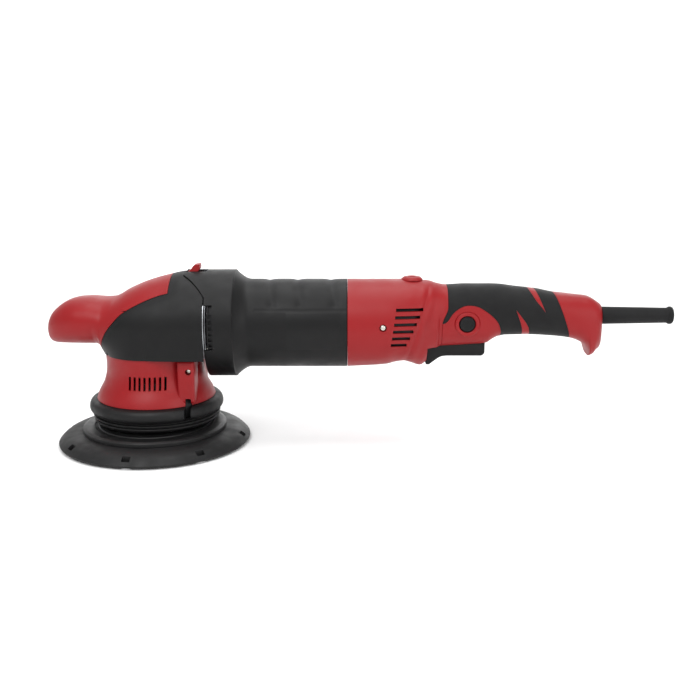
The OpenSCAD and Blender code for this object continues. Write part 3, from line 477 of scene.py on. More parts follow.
def slotRow(name, count, first, step, size, sizeStep=(0, 0, 0)):
    inMetres = [[v * mm for v in row] for row in (first, step, size, sizeStep)]
    return runTree(name, blockRow, {"Count": count, "First": inMetres[0], "Step": inMetres[1],
        "Size": inMetres[2],
        "Size Step": inMetres[3], "Finish": finishes["black_nylon"]})


def ringOf(name, shape, count, centre, turn=0.0):
    made = runTree(name, copyRing, {"Count": count, "Centre": [v * mm for v in centre], "Turn": turn,
        "Shape": shape, "Finish": finishes["black_nylon"]})
    discard(shape)
    return made


def scatterOf(name, shape, points, turnStep=0.0):
    spots = link(bpy.data.objects.new("spots", bpy.data.meshes.new("spots")))
    spots.data.from_pydata([tuple(np.array(p) * mm) for p in points], [], [])
    made = runTree(name, copyScatter, {"Points": spots, "Shape": shape, "Turn Step": turnStep,
        "Finish": finishes["zinc_steel"]})
    discard(spots, shape)
    return made


print("node trees made")


# ---- lofted bodies ----

def signedPower(value, power):
    return np.sign(value) * np.abs(value) ** power


# A smooth curve through the stations that never overshoots them, read at the given X.
def stationsAt(stations, xs):
    rows = np.array(stations, float)
    t = rows[:, 0]
    gap = np.diff(t)[:, None]
    slope = np.diff(rows, axis=0) / gap
    lean = np.zeros_like(rows)
    lean[0], lean[-1] = slope[0], slope[-1]
    before, after = slope[:-1], slope[1:]
    w1, w2 = 2 * gap[1:] + gap[:-1], gap[1:] + 2 * gap[:-1]
    with np.errstate(divide="ignore", invalid="ignore"):
        lean[1:-1] = np.where(before * after > 0, (w1 + w2) / (w1 / before + w2 / after), 0)
    k = np.clip(np.searchsorted(t, xs) - 1, 0, len(gap) - 1)
    s = ((xs - t[k]) / gap[k, 0])[:, None]
    g = gap[k]
    return ((1 + 2 * s) * (1 - s) ** 2 * rows[k] + s * (1 - s) ** 2 * g * lean[k]
        + s ** 2 * (3 - 2 * s) * rows[k + 1] + s ** 2 * (s - 1) * g * lean[k + 1])


# A station is [x, top, bottom, half width, squareness, lean], heights from the motor axis.
def ringAt(row, inset, steps=144):
    x, top, low, half, square, lean = row
    turns = (np.arange(steps) + 0.5) * 2 * math.pi / steps
    tall = (top - low) / 2 - inset
    z = (top + low) / 2 + tall * signedPower(np.cos(turns), 2 / square)
    y = (half - inset) * signedPower(np.sin(turns), 2 / square)
    return np.stack([x - lean * z, y, axisZ + z], axis=1)


def loftOf(name, stations, xs, insets):
    rows = stationsAt(stations, np.asarray(xs, float))
    return skinOver(name, [ringAt(row, inset) for row, inset in zip(rows, insets)])


# ---- handle ----

handle = {
    "wall": 2.6,
    "gripThickness": 1.2,
    "top": 30.8,
    "guardLow": -16.4,
    "gripLow": -9,
    "halfWidth": 20.3,
    "rearSeamLean": 0.37,
    "frontSeamSweep": 4.3,
    "triggerHalf": 9.8,
}
gripEnd = tailEnd - 29.5


def handleRows():
    top, guard, low, half = (handle[key] for key in ("top", "guardLow", "gripLow", "halfWidth"))
    return [
        [motorEnd, barrelR, -barrelR, barrelR, 2, 0],
        [motorEnd + 30, barrelR, 1.8 - barrelR, barrelR, 2, 0],
        [motorEnd + 39, barrelR, 3.6 - barrelR, barrelR - 0.8, 2, -0.06],
        [motorEnd + 47, barrelR - 0.2, 4.6 - barrelR, barrelR - 2.2, 2.05, -0.1],
        [motorEnd + 54, barrelR - 0.6, 3 - barrelR, barrelR - 4.6, 2.08, -0.12],
        [motorEnd + 60.5, barrelR - 1.2, 1 - barrelR, barrelR - 8, 2.15, -0.1],
        [motorEnd + 68, top + 0.7, guard - 9, half + 2.8, 2.25, -0.05],
        [gripStart, top - 0.6, guard - 2.5, half, 2.4, 0],
        [motorEnd + 92, top, guard - 1, half, 2.5, 0],
        [motorEnd + 108.5, top, guard + 0.5, half, 2.5, 0],
        [motorEnd + 112.5, top, guard + 3.4, half, 2.5, 0.02],
        [motorEnd + 117, top - 0.1, low - 1.4, half, 2.5, 0.05],
        [motorEnd + 123, top - 0.4, low, half, 2.5, 0.1],
        [motorEnd + 139, top - 2, low + 0.3, half - 0.1, 2.45, 0.25],
        [gripEnd - 13, top - 3.8, low - 0.7, half - 0.4, 2.4, 0.33],
        [gripEnd, top - 6.4, low - 2.4, half - 0.9, 2.35, handle["rearSeamLean"]],
        [tailEnd - 20, top - 7.6, low - 6, half - 1.2, 2.35, 0.3],
        [tailEnd - 15, top - 8.6, low - 11, half - 1.5, 2.4, 0.18],
        [tailEnd - 11, top - 9.4, low - 17, half - 1.9, 2.6, 0.06],
        [tailEnd - 7, top - 11.6, low - 16, half - 2.8, 2.6, 0],
        [tailEnd - 4, top - 13.6, low - 12.4, half - 4.6, 2.6, 0],
        [tailEnd - 1.8, top - 15.2, low - 11, half - 7.6, 2.6, 0],
        [tailEnd, top - 17, low - 9.4, half - 12, 2.6, 0]]


handleStations = handleRows()


# The shell is cut off flat above the trigger, behind the chin.
def guardCut():
    return block("guardCut", (motorEnd + 61.8, -50, axisZ - 70),
        (motorEnd + 110, 50, axisZ + handle["guardLow"]))


# A raised fold leans down the side where the round barrel turns into the handle, with a shallow valley
# before it.
def pressFold(piece):
    for vertex in piece.data.vertices:
        x, y, z = vertex.co.x / mm, vertex.co.y / mm, vertex.co.z / mm - axisZ
        along = x - (motorEnd + 57.5) - 0.3 * z
        side = min(max((abs(y) - 6) / 12, 0), 1)
        lift = 1.1 * math.exp(-(along / 3.6) ** 2) - 0.9 * math.exp(-((along + 7) / 3.6) ** 2)
        vertex.co.y += math.copysign(lift * side, y) * mm
    return piece


# The front seam of the grip sweeps forward below the top, and everything near it moves with it.
def sweepSeam(piece):
    for vertex in piece.data.vertices:
        x, z = vertex.co.x / mm, vertex.co.z / mm - axisZ
        near = max(0, 1 - abs(x - gripStart) / (9 if x < gripStart else 26))
        low = min(max((15.5 - z) / 13.5, 0), 1)
        vertex.co.x -= handle["frontSeamSweep"] * near * near * (3 - 2 * near) * low * low * (3 - 2 * low) * mm
    return piece


def spread(*spans):
    return np.unique(np.concatenate([np.linspace(a, b, count) for a, b, count in spans]).round(4))


def triggerOpening():
    return block("triggerOpening", (motorEnd + 60.9, -handle["triggerHalf"], axisZ - 45),
        (motorEnd + 109, handle["triggerHalf"], axisZ + handle["guardLow"] + 6.8))


def makeHandle():
    thick, wall = handle["gripThickness"], handle["wall"]
    xs = spread((motorEnd + 0.15, motorEnd + 36, 20), (motorEnd + 36, gripStart, 60),
        (gripStart + 0.02, gripStart + 0.3, 2), (gripStart + 1, gripEnd - 1, 66),
        (gripEnd - 0.3, gripEnd - 0.02, 2),
        (gripEnd, tailEnd - 6, 30), (tailEnd - 6, tailEnd, 14))
    sunk = [thick if gripStart + 0.1 < x < gripEnd - 0.1 else 0 for x in xs]
    sunk[-1], sunk[-2] = 1.0, 0.35
    outside = pressFold(sweepSeam(loftOf("outside", handleStations, xs, sunk)))
    inXs = spread((motorEnd - 3, motorEnd + 58, 24), (motorEnd + 61.8, tailEnd - 12, 60),
        (tailEnd - 12, tailEnd - 8, 5))
    inRows = stationsAt(handleStations, np.clip(inXs, motorEnd, tailEnd))
    inRows[:, 0] = inXs
    inRows[:, 2] = np.where(inXs > motorEnd + 54, np.maximum(inRows[:, 2], handle["guardLow"]), inRows[:, 2])
    inside = skinOver("inside", [ringAt(row, wall + (thick if gripStart < row[0] < gripEnd else 0))
        for row in inRows])
    trigger = triggerOpening()
    boot = lathe("bootHole", [(0, -20), (6.1, -20), (6.1, 10), (0, 10)],
        (tailEnd, 0, nodeMiddle("cord_boot")[2]), "x", 48)
    hanger = nodeMiddle("hanger_boss")
    bossHole = lathe("bossHole", [(0, -8), (6.25, -8), (6.25, 8), (0, 8)], (hanger[0], 0, axisZ + barrelR),
        "z", 64)
    vents = slotRow("vents", 6, (motorEnd + 47.25, 0, axisZ + 15.25), (-1.62, 0, -5.4), (20.9, 100, 2.5),
        (-1.76, 0, 0))
    guard = guardCut()
    combine(outside, [inside, trigger, boot, bossHole, vents, guard])
    screw = nodeMiddle("housing_screws")
    for side in (-1, 1):
        sink = lathe("sink", [(0, -4), (1.7, -4), (1.7, 0.2), (2.75, 0.3), (3.2, 9), (0, 9)],
            (screw[0], 0, screw[2]), "y", 48)
        sink.data.transform(Matrix.Translation((0, (barrelR - 2.6) * mm, 0)))
        if side < 0:
            sink.data.transform(Matrix.Scale(-1, 4, (0, 1, 0)))
            sink.data.flip_normals()
        combine(outside, [sink])
        discard(sink)
    discard(inside, trigger, boot, bossHole, vents, guard)
    return outside


def gripLayer(name, outer, inner):
    edge = 0.5
    xs = spread((gripStart + 0.12, gripStart + 0.12 + edge, 5), (gripStart + 1.2, gripEnd - 1.2, 84),
        (gripEnd - 0.12 - edge, gripEnd - 0.12, 5))
    ends = [max(0, edge - (x - gripStart - 0.12), edge - (gripEnd - 0.12 - x)) for x in xs]
    insets = [outer + edge - math.sqrt(max(edge * edge - d * d, 0)) for d in ends]
    skin = sweepSeam(loftOf(name, handleStations, xs, insets))
    coreXs = spread((gripStart - 2, gripStart, 2), (gripStart + 1.2, gripEnd - 1.2, 84),
        (gripEnd, gripEnd + 2, 2))
    core = sweepSeam(loftOf("core", handleStations, coreXs, [inner] * len(coreXs)))
    guard = guardCut()
    combine(skin, [core, guard])
    discard(core, guard)
    return skin


# The red panel round the lock button, drawn from the button's centre.
def panelOutline(grow):
    arc = curveThrough([(-22, -0.4), (-19.4, 0.2), (-15.6, 2), (-10.8, 8.7), (-5, 13), (0.8, 14.5),
        (8.6, 13.2),
        (17.4, 7.6), (23.6, 1), (26.4, -6.4)])
    low = [(27, -30), (-22, -30)]
    centre = np.array([0, -6.0])
    points = [np.array(p) for p in arc + low]
    points = [p + (p - centre) / np.linalg.norm(p - centre) * grow for p in points]
    return [(buttonX + p[0], buttonZ + p[1]) for p in points]


# Two lightning-shaped slashes through the grip, where the red shell shows, drawn from the tail's end.
def slashOutlines(grow=0.0):
    first = [(-61.1, 34), (-55.7, 34), (-52.9, 25.5), (-50.1, 18.6), (-47.1, 11.2), (-49.9, 15),
        (-54.3, 20.4),
        (-58.1, 26.6)]
    second = [(-69.8, 13.6), (-65.9, 8.8), (-62.1, 3.6), (-59.6, -0.6), (-56.9, -10), (-63.1, -10),
        (-64.3, -2),
        (-66.1, 3.8)]
    outlines = []
    for shape in (first, second):
        centre = np.mean(shape, axis=0)
        outlines.append([(p[0] + tailEnd + np.sign(p[0] - centre[0]) * grow, p[1] + axisZ) for p in shape])
    return outlines


# A dark sheet of the bumper rubber stands just inside the cooling slots on each side, as painted shade behind
# them.
def makePaintedShadeSheets():
    for side, word in sides:
        turns = np.radians(np.linspace(50, 128, 40)) * side
        radii = [barrelR - 3.4, barrelR - 2.9]
        loops = [[(x, r * math.sin(t), axisZ + r * math.cos(t)) for x, r in
            ((motorEnd + 26, radii[0]), (motorEnd + 26, radii[1]), (motorEnd + 50, radii[1] - 1.4),
            (motorEnd + 61, radii[1] - 8.6), (motorEnd + 61, radii[0] - 8.6),
            (motorEnd + 50, radii[0] - 1.4))]
            for t in turns]
        # Painted shade: this dark sheet stands in for the shade inside the hollow handle behind the slots.
        screen = smooth(skinOver("dustScreen" + word, loops))
        place(screen, "housing", "bumper_rubber")


# All of one side, 0.1 mm short of the middle plane.
def sideBlock(side, x0, x1):
    near, far = across(side, 0.1, 60)
    return block("half", (x0, near, 20), (x1, far, 160))


def halfOf(piece, name, side):
    half = sideBlock(side, motorEnd - 5, tailEnd + 5)
    twin = copyOf(piece, name)
    combine(twin, [half], "INTERSECT")
    discard(half)
    return twin


def makeGrips():
    shell = makeHandle()
    layer = gripLayer("layer", 0, handle["gripThickness"] - 0.05)
    filling = gripLayer("filling", 0.12, handle["gripThickness"] - 0.05)
    trigger = triggerOpening()
    panelCut = [prism("panelCut", panelOutline(0.2), s * 2, s * 40) for s in (-1, 1)]
    panelFill = [prism("panelFill", panelOutline(0), s * 2.3, s * 40) for s in (-1, 1)]
    slashCut = [prism("slashCut", outline, -40, 40) for outline in slashOutlines(0.15)]
    slashFill = [prism("slashFill", outline, -40, 40) for outline in slashOutlines()]
    black = copyOf(layer, "black")
    combine(black, panelCut + slashCut + [trigger])
    screws = [p for p in handleScrewSpots() if gripStart < p[0] < gripEnd]
    for side, name in sides:
        word = name.lower()
        panel = copyOf(filling, "panel" + name)
        combine(panel, [panelFill[0 if side < 0 else 1]], "INTERSECT")
        combine(panel, [trigger])
        if side < 0:
            well = pegY("well", buttonX, buttonZ, -40, -4, 6.5)
            dish = lathe("dish", [(0, -handle["halfWidth"] + 0.9), (9.4, -handle["halfWidth"] + 0.9),
                (10.6, -handle["halfWidth"] - 0.2), (10.8, -40), (0, -40)], (buttonX, 0, buttonZ), "y", 96)
            combine(panel, [dish, well])
            discard(dish, well)
        place(panel, "housing", "red_abs", "switch_surround_" + word)
        grip = halfOf(black, "grip" + name, side)
        if side > 0:
            holes = [pegY("hole", p[0], p[2], 5, 40, 3.5) for p in screws]
            combine(grip, holes)
            discard(*holes)
        place(grip, "housing", "black_rubber", "grip_" + word)
        half = halfOf(shell, "handle" + name, side)
        cuts = []
        if side < 0:
            cuts.append(pegY("bore", buttonX, buttonZ, -30, -9, 6.5))
        else:
            cuts += [pegY("hole", p[0], p[2], 2, 40, 3.5) for p in handleScrewSpots()]
            dial = nodeMiddle("speed_dial")
            low, high = nodeBox("speed_dial")
            cuts.append(block("dialSlot", (dial[0] - 11.2, 4, low[2] - 0.5),
                (dial[0] + 11.2, 40, high[2] + 0.5)))
        combine(half, cuts)
        discard(*cuts)
        for outline in slashFill:
            slash = copyOf(filling, "slash")
            combine(slash, [outline], "INTERSECT")
            bit = halfOf(slash, "bit", side)
            combine(half, [bit], "UNION")
            discard(slash, bit)
        place(half, "housing", "red_abs", "handle_" + word)
    discard(shell, layer, filling, black, trigger, *panelCut, *panelFill, *slashCut, *slashFill)


def handleScrewSpots():
    points = np.array([v.co for v in frame["nodes"]["handle_screws"].data.vertices]) / mm
    spots = []
    for p in points:
        if not any(math.hypot(p[0] - s[0], p[2] - s[2]) < 8 for s in spots):
            near = points[np.hypot(points[:, 0] - p[0], points[:, 2] - p[2]) < 8]
            middle = (near.min(axis=0) + near.max(axis=0)) / 2
            spots.append((middle[0], near[:, 1].max(), middle[2]))
    return spots


makeGrips()
makePaintedShadeSheets()
print("handle, grips and panels made")


# ---- head ----

head = {
    "wall": 2.5,
    "skirtR": 39.0,
    "noseFlat": -15.4,
}
noseStations = [
    [-82.85, -3.4, -6.6, 1.6, 2, 0],
    [-82.4, 0.6, -9.4, 5, 2.1, 0],
    [-81, 4.2, -12.4, 9.2, 2.2, 0],
    [-78.5, 8.6, -14.4, 13.4, 2.3, 0],
    [-75, 12.2, -15.2, 17, 2.3, 0],
    [-70, 16, head["noseFlat"], 20.4, 2.3, 0],
    [-64, 19, head["noseFlat"], 23.2, 2.3, 0],
    [-56, 20.8, head["noseFlat"], 25.6, 2.3, 0],
    [-48, 21.2, head["noseFlat"], 26.8, 2.3, 0],
    [-41, 20.7, head["noseFlat"], 27.6, 2.25, 0],
    [-36, 20.4, head["noseFlat"] + 0.2, 28.6, 2.2, 0],
    [-30, 20.3, head["noseFlat"] + 0.4, 28.8, 2.2, 0]]
headStations = [
    [-36, 20.4, 0, 28.6, 2.2, 0],
    [-30, 20.8, 0, 31.2, 2.2, 0],
    [-25, 22.8, 0, 33.4, 2.2, 0],
    [-18, 27, 0, 35.8, 2.15, 0],
    [-8, 31.6, 0, 38.2, 2.1, 0],
    [2, 35.2, 0, 39.8, 2.05, 0],
    [12, 38, 0, 40.8, 2, 0],
    [18, 39.5, 0, 41.2, 2, 0],
    [26.5, 41, 0, 41.4, 2, 0],
    [44.4, 41.1, 0, 41.5, 2, 0]]


headSteps = 161


def easeStep(value):
    t = np.clip(value, 0, 1)
    return t * t * (3 - 2 * t)


# One section of the head, from one lower edge over the top to the other.
def headLoop(row, inset, below):
    x, top, _, half, square, _ = row
    u = np.linspace(-1, 1, headSteps)
    over = np.clip(np.abs(u) / 0.7, 0, 1) * math.pi / 2
    down = np.clip((np.abs(u) - 0.7) / 0.3, 0, 1)
    wide = half - inset
    low = min(wide, math.sqrt(max(head["skirtR"] ** 2 - x * x, 1)) - inset)
    y = np.where(np.abs(u) < 0.7, wide * signedPower(np.sin(over), 2 / square),
        wide + (low - wide) * down * down if x < 0 else wide)
    z = np.where(np.abs(u) < 0.7, (top - inset) * signedPower(np.cos(over), 2 / square),
        (headZ - axisZ - below) * down)
    return np.stack([np.full_like(u, x), np.sign(u) * y, axisZ + z], axis=1)


# The same count of points round the nose, with the top and the widest points in the same places.
def noseLoop(row):
    x, top, low, half, square, _ = row
    u = np.linspace(-1, 1, headSteps)
    part = np.abs(u)
    turn = np.where(part < 0.7, part / 0.7, 1 + (part - 0.7) / 0.3) * math.pi / 2
    z = (top + low) / 2 + (top - low) / 2 * signedPower(np.cos(turn), 2 / square)
    y = np.sign(u) * half * signedPower(np.sin(turn), 2 / square)
    return np.stack([np.full_like(u, x), y, axisZ + z], axis=1)


# The nose runs into the head over its upper half slowly, and at the throat within a few millimetres.
def noseAndHead(name, xs):
    noseRows = stationsAt(noseStations, np.minimum(xs, -30))
    headRows = stationsAt(headStations, np.maximum(xs, -36))
    u = np.abs(np.linspace(-1, 1, headSteps))
    lower = np.clip((u - 0.62) / 0.2, 0, 1)
    loops = []
    for x, noseRow, headRow in zip(xs, noseRows, headRows):
        noseRow[0] = headRow[0] = x
        share = easeStep((x + 44) / 15) * (1 - lower) + easeStep((x + 43) / 5.5) * lower
        loops.append(noseLoop(noseRow) * (1 - share[:, None]) + headLoop(headRow, 0, 0) * share[:, None])
    return skinOver(name, loops)


def headSolid(name, xs, inset, below):
    rows = stationsAt(headStations, np.clip(xs, -36, 44.4))
    rows[:, 0] = xs
    return skinOver(name, [headLoop(row, inset, below) for row in rows])


# Side view of where the red spine and nose meet the black covers.
def spineOutline(grow):
    edge = curveThrough([(17.1, 27.8), (9, 25.6), (-3.3, 20.7), (-17.3, 13), (-25.2, 5.3), (-30.9, -1.7),
        (-34.8, -8.7), (-37.6, -16.5)], steps=6)
    outline = [(x - grow * 0.6, axisZ + z + grow * 0.8) for x, z in edge]
    return outline + [(-90, axisZ - 20), (-90, axisZ + 60), (17.1 - grow, axisZ + 60)]


def makeHead():
    solid = noseAndHead("solid", spread((-82.85, -82.4, 4), (-82.4, -77, 14), (-77, -44, 30), (-44, -28, 34),
        (-28, 17, 48), (17, 44.2, 26)))
    hollow = headSolid("hollow", spread((-33, 17, 40), (17, 50, 20)), head["wall"], 6)
    combine(solid, [hollow])
    lip = lipWedge("lipSpace", 0.3)
    spineCut = prism("spineCut", spineOutline(-0.22), -60, 60)
    spineKeep = prism("spineKeep", spineOutline(0.22), -60, 60)
    covers = copyOf(solid, "covers")
    combine(covers, [spineCut, lip])
    lines = []
    for side in (-1, 1):
        near, far = across(side, 41.05, 45)
        lines.append(block("line", (15, near, axisZ + 9.9), (43, far, axisZ + 10.3)))
    for side, name in sides:
        half = sideBlock(side, -60, 60)
        cover = copyOf(covers, "cover" + name)
        combine(cover, [half], "INTERSECT")
        combine(cover, lines)
        place(cover, "housing", "black_nylon", "head_cover_" + name.lower())
        discard(half)
    spine = copyOf(solid, "noseAndSpine")
    combine(spine, [spineKeep], "INTERSECT")
    core = lathe("core", [(0, axisZ - 45), (35.7, axisZ - 45), (35.7, axisZ + 15), (0, axisZ + 15)],
        (0, 0, 0))
    combine(spine, [core])
    place(spine, "housing", "red_abs", "nose_grip")
    discard(solid, hollow, lip, spineCut, spineKeep, covers, core, *lines)


# Vertical wedge over which the collar's front lip reaches.
def lipWedge(name, grow):
    front, back = 27 - grow, motorStart + 1
    narrow, wide = 13 + grow, 33 + grow
    outline = [(front, -narrow), (motorStart, -wide), (back, -wide), (back, wide), (motorStart, wide),
        (front, narrow)]
    return prism(name, outline, axisZ + 15, axisZ + 60, upright=True)


makeHead()
print("head made")


# ---- motor housing ----

barrel = {
    "wall": 2.6,
    "collarLength": 21.8,
    "dips": (91.6, 113.4, 139.4),
    "dipDepth": 0.8,
    "dipWidth": 3.4,
    "gripAngle": 62,
}


def housingRadius(x, turn):
    shoulder = motorStart + barrel["collarLength"]
    if x < shoulder:
        edge = min(x - motorStart, shoulder - x)
        return collarR - (0.8 - math.sqrt(max(0.8 ** 2 - (0.8 - edge) ** 2, 0)) if edge < 0.8 else 0)
    t = min((x - shoulder) / 11.5, 1)
    radius = barrelR + (collarR - 0.8 - barrelR) * (1 - math.sin(math.radians(90 * t)))
    fromTop = abs(math.degrees(math.atan2(math.sin(turn), math.cos(turn))))
    inGrip = min(max((barrel["gripAngle"] - fromTop) / 5, 0), 1)
    dip = sum(math.exp(-(((x - c - 0.075 * fromTop) / barrel["dipWidth"]) ** 2)) for c in barrel["dips"])
    seam = math.exp(-(((fromTop - barrel["gripAngle"] - 2) / 1.2) ** 2)) * 0.35 if x > shoulder + 16 else 0
    end = 0.5 if motorEnd - x < 0.1 else 0
    return radius - barrel["dipDepth"] * dip * inGrip - seam - end


def makeMotorHousing():
    shoulder = motorStart + barrel["collarLength"]
    outer = spread((motorStart, motorStart + 0.8, 4), (motorStart + 0.8, shoulder - 0.8, 10),
        (shoulder - 0.8, shoulder, 4), (shoulder, shoulder + 12, 20), (shoulder + 12, motorEnd - 0.6, 110),
        (motorEnd - 0.5, motorEnd, 2))
    inner = [(motorEnd, barrelR - barrel["wall"]), (shoulder + 15.5, barrelR - barrel["wall"]),
        (shoulder - 1, collarR - 3.5), (motorStart, collarR - 3.5)]
    loops = []
    for turn in np.linspace(0, 2 * math.pi, 240, endpoint=False):
        line = [(x, housingRadius(x, turn)) for x in outer] + inner
        loops.append([(x, r * math.sin(turn), axisZ + r * math.cos(turn)) for x, r in line])
    shell = skinOver("motorShell", loops, ringClosed=True)
    lip = lathe("lip", filleted([(collarR - 3.5, 20, 0), (collarR, 20, 0), (collarR, motorStart + 1, 0),
        (collarR - 3.5, motorStart + 1, 0)]), (0, 0, axisZ), "x", 240)
    wedge = lipWedge("wedge", 0)
    combine(lip, [wedge], "INTERSECT")
    combine(shell, [lip], "UNION")
    slot = block("tabSlot", (26, -6.8, axisZ + 30), (motorStart - 0.4, 6.8, axisZ + 50))
    low, high = nodeBox("exhaust_grilles")
    windows = [block("window", (motorStart + 1.3, side * 40 - 10, low[2] - 0.2),
        (motorStart + 6.8, side * 40 + 10, high[2] + 0.2)) for side in (-1, 1)]
    combine(shell, [slot, *windows])
    place(shell, "housing", "black_nylon", "motor_housing")
    discard(lip, wedge, slot, *windows)


label = {"start": 106.5, "end": 147, "edge": 0.8, "lift": 0.13, "turns": (66, 116)}


# A blank film on each side of the barrel, following its curve.
def makeLabels():
    start, end, edge, lift = (label[key] for key in ("start", "end", "edge", "lift"))
    rim = [(start, 0), (start + edge, lift), (end - edge, lift), (end, 0)]
    for side, word in sides:
        turns = np.radians(np.linspace(*label["turns"], 40)) * side
        loops = []
        for k, turn in enumerate(turns):
            raised = 0 if k in (0, len(turns) - 1) else 1
            radii = [barrelR - 0.3] + [barrelR + 0.02 + rise * raised for _, rise in rim] + [barrelR - 0.3]
            places = [rim[0][0]] + [x for x, _ in rim] + [rim[-1][0]]
            loops.append([(x, r * math.sin(turn), axisZ + r * math.cos(turn)) for x, r in zip(places, radii)])
        film = smooth(skinOver("blankLabel" + word, loops))
        place(film, "housing", "black_nylon", material=labelFilm)


# Slats in each side window, with the die-cast plate's edge bright in front of them.
def makeGrilles():
    low, high = nodeBox("exhaust_grilles")
    frameRing = lathe("frameRing", [(collarR - 3.4, low[0]), (collarR - 1.1, low[0]),
        (collarR - 1.1, low[0] + 0.9),
        (collarR - 2.6, low[0] + 0.9), (collarR - 2.6, high[0] - 0.5), (collarR - 1.1, high[0] - 0.5),
        (collarR - 1.1, high[0]), (collarR - 3.4, high[0])], (0, 0, axisZ), "x", 240)
    pieces = []
    for side in (-1, 1):
        strip = copyOf(frameRing, "strip")
        keep = block("keep", (0, side * 40 - 10, low[2]), (90, side * 40 + 10, high[2]))
        combine(strip, [keep], "INTERSECT")
        slats = slotRow("slats", 8, ((low[0] + high[0]) / 2, side * (collarR - 2.3), low[2] + 1.5),
            (0, 0, (high[2] - low[2] - 3) / 7), (high[0] - low[0] - 0.2, 2.4, 1.5))
        shrink = lathe("round", [(0, 0), (collarR - 1.0, 0), (collarR - 1.0, 90), (0, 90)], (0, 0, axisZ),
            "x", 240)
        combine(slats, [shrink], "INTERSECT")
        combine(strip, [slats], "UNION")
        discard(slats, shrink, keep)
        pieces.append(strip)
    place(joined("exhaustGrille", pieces), "housing", "black_nylon", "exhaust_grilles")
    discard(frameRing)


def joined(name, pieces):
    work = bmesh.new()
    for piece in pieces:
        work.from_mesh(piece.data)
    mesh = bpy.data.meshes.new(name)
    work.to_mesh(mesh)
    work.free()
    discard(*pieces)
    return smooth(link(bpy.data.objects.new(name, mesh)))


makeMotorHousing()
makeLabels()
makeGrilles()
print("motor housing made")


# ---- shroud, bumper ring and backing plate ----

shroud = {
    "waist": 37.7,
    "slots": 8,
    "firstSlot": -12.95,
    "slotPitch": 3.86,
    "slotSize": (1.8, 60, 10.2),
    "lug": (23, 36.2),
    "notch": (28.6, 33.2),
}


def makeShroud():
    low, high = nodeBox("shroud")
    waist = shroud["waist"]
    corners = [(waist + 9, low[2], 0.6), (waist + 7, low[2] + 5.6, 5), (waist + 2.6, low[2] + 13, 6),
        (waist + 0.4, low[2] + 21, 6), (waist, high[2] - 9, 5), (waist + 0.5, high[2], 0.5),
        (waist - 1.9, high[2], 0), (waist - 2.4, high[2] - 9, 4), (waist - 2, low[2] + 21, 4),
        (waist + 0.2, low[2] + 13, 4), (waist + 4.6, low[2] + 5.6, 4), (waist + 6.6, low[2], 0.4)]
    skirt = lathe("shroudSkirt", filleted(corners, 6), (0, 0, 0), "z", 192)
    roof = lathe("roof", [(22.6, high[2] - 3), (waist - 1, high[2] - 3), (waist - 1, high[2] - 0.1),
        (22.6, high[2] - 0.1)], (0, 0, 0), "z", 96)
    combine(skirt, [roof], "UNION")
    discard(roof)
    inner = lathe("inner", [(0, low[2]), (waist - 3, low[2]), (waist - 3, high[2] - 3), (0, high[2] - 3)],
        (0, 0, 0), "z", 96)
    screw = nodeMiddle("shroud_screws")
    for side in (-1, 1):
        a, b = shroud["lug"]
        near, far = across(side, 16, waist - 1.2)
        lug = block("lug", (a, near, low[2] + 2), (b, far, high[2] - 0.8))
        rounded(lug, 2.2, 5)
        combine(lug, [inner])
        combine(skirt, [lug], "UNION")
        slots = slotRow("slots", shroud["slots"], (shroud["firstSlot"], side * 50, high[2] - 18.3),
            (shroud["slotPitch"], 0, 0), shroud["slotSize"])
        hole = pegY("hole", screw[0], screw[2], *across(side, 20, 50), 1.6, 32)
        sink = pegY("sink", screw[0], screw[2], *across(side, 30.8, 50), 2.35, 32)
        combine(skirt, [slots, hole, sink])
        discard(lug, slots, hole, sink)
    start, end = shroud["notch"]
    notch = block("notch", (start, -60, low[2] - 9), (end, -26, low[2] + 6))
    rounded(notch, 0.8, 3)
    combine(skirt, [notch])
    discard(inner, notch)
    place(skirt, "housing", "red_abs", "shroud")


def makeBumper():
    low, high = nodeBox("bumper_ring")
    r, z0, z1 = high[1], low[2], high[2]
    inside = r - 9.2
    corners = [(inside, z1, 0.4), (r - 8, z1, 0.4), (r - 5.6, z1 - 0.2, 2), (r - 1.6, z1 - 1, 3),
        (r, z1 - 4.4, 3),
        (r - 0.1, z1 - 8, 3), (r - 2.4, z1 - 10.6, 1.6), (r - 4.6, z1 - 11, 0.5), (r - 4.6, z1 - 11.8, 0.3),
        (r - 2.6, z1 - 12.2, 0.7), (r - 2.6, z1 - 13.4, 0.7), (r - 4.6, z1 - 13.8, 0.3),
        (r - 4.6, z1 - 14.4, 0.3),
        (r - 3, z1 - 14.8, 0.6), (r - 3, z0 + 1.6, 0.6), (r - 4.4, z0, 0.6), (r - 7, z0, 0.5),
        (r - 7.4, z0 + 3.2, 0.5), (inside, z0 + 3.4, 0.5)]
    ring = lathe("bumperRing", filleted(corners, 5), (0, 0, 0), "z", 192)
    start, end = shroud["notch"]
    notch = block("notch", (start, -60, z1 - 9.4), (end, -26, z1 + 1))
    rounded(notch, 0.6, 3)
    combine(ring, [notch])
    liner = lathe("liner", [(r - 9.6, z1 - 9), (r - 6.9, z1 - 9), (r - 6.9, z1 + 0.2), (r - 9, z1 + 5.6),
        (r - 10.6, z1 + 9), (r - 12.2, z1 + 9), (r - 10.8, z1 + 5.6), (r - 9.6, z1 + 0.2)], (0, 0, 0), "z",
        192)
    keep = block("keep", (start + 0.15, -60, z1 - 12), (end - 0.15, -20, z1 + 12))
    combine(liner, [keep], "INTERSECT")
    combine(ring, [liner], "UNION")
    discard(notch, liner, keep)
    place(ring, "housing", "bumper_rubber", "bumper_ring")


plate = {
    "windows": 8,
    "windowSize": (4.2, 6.4),
    "firstWindow": math.radians(-97),
    "rim": 2.6,
    "hookPitch": 1.7,
    "hookHeight": 0.9,
    "hookR": 0.09,
}


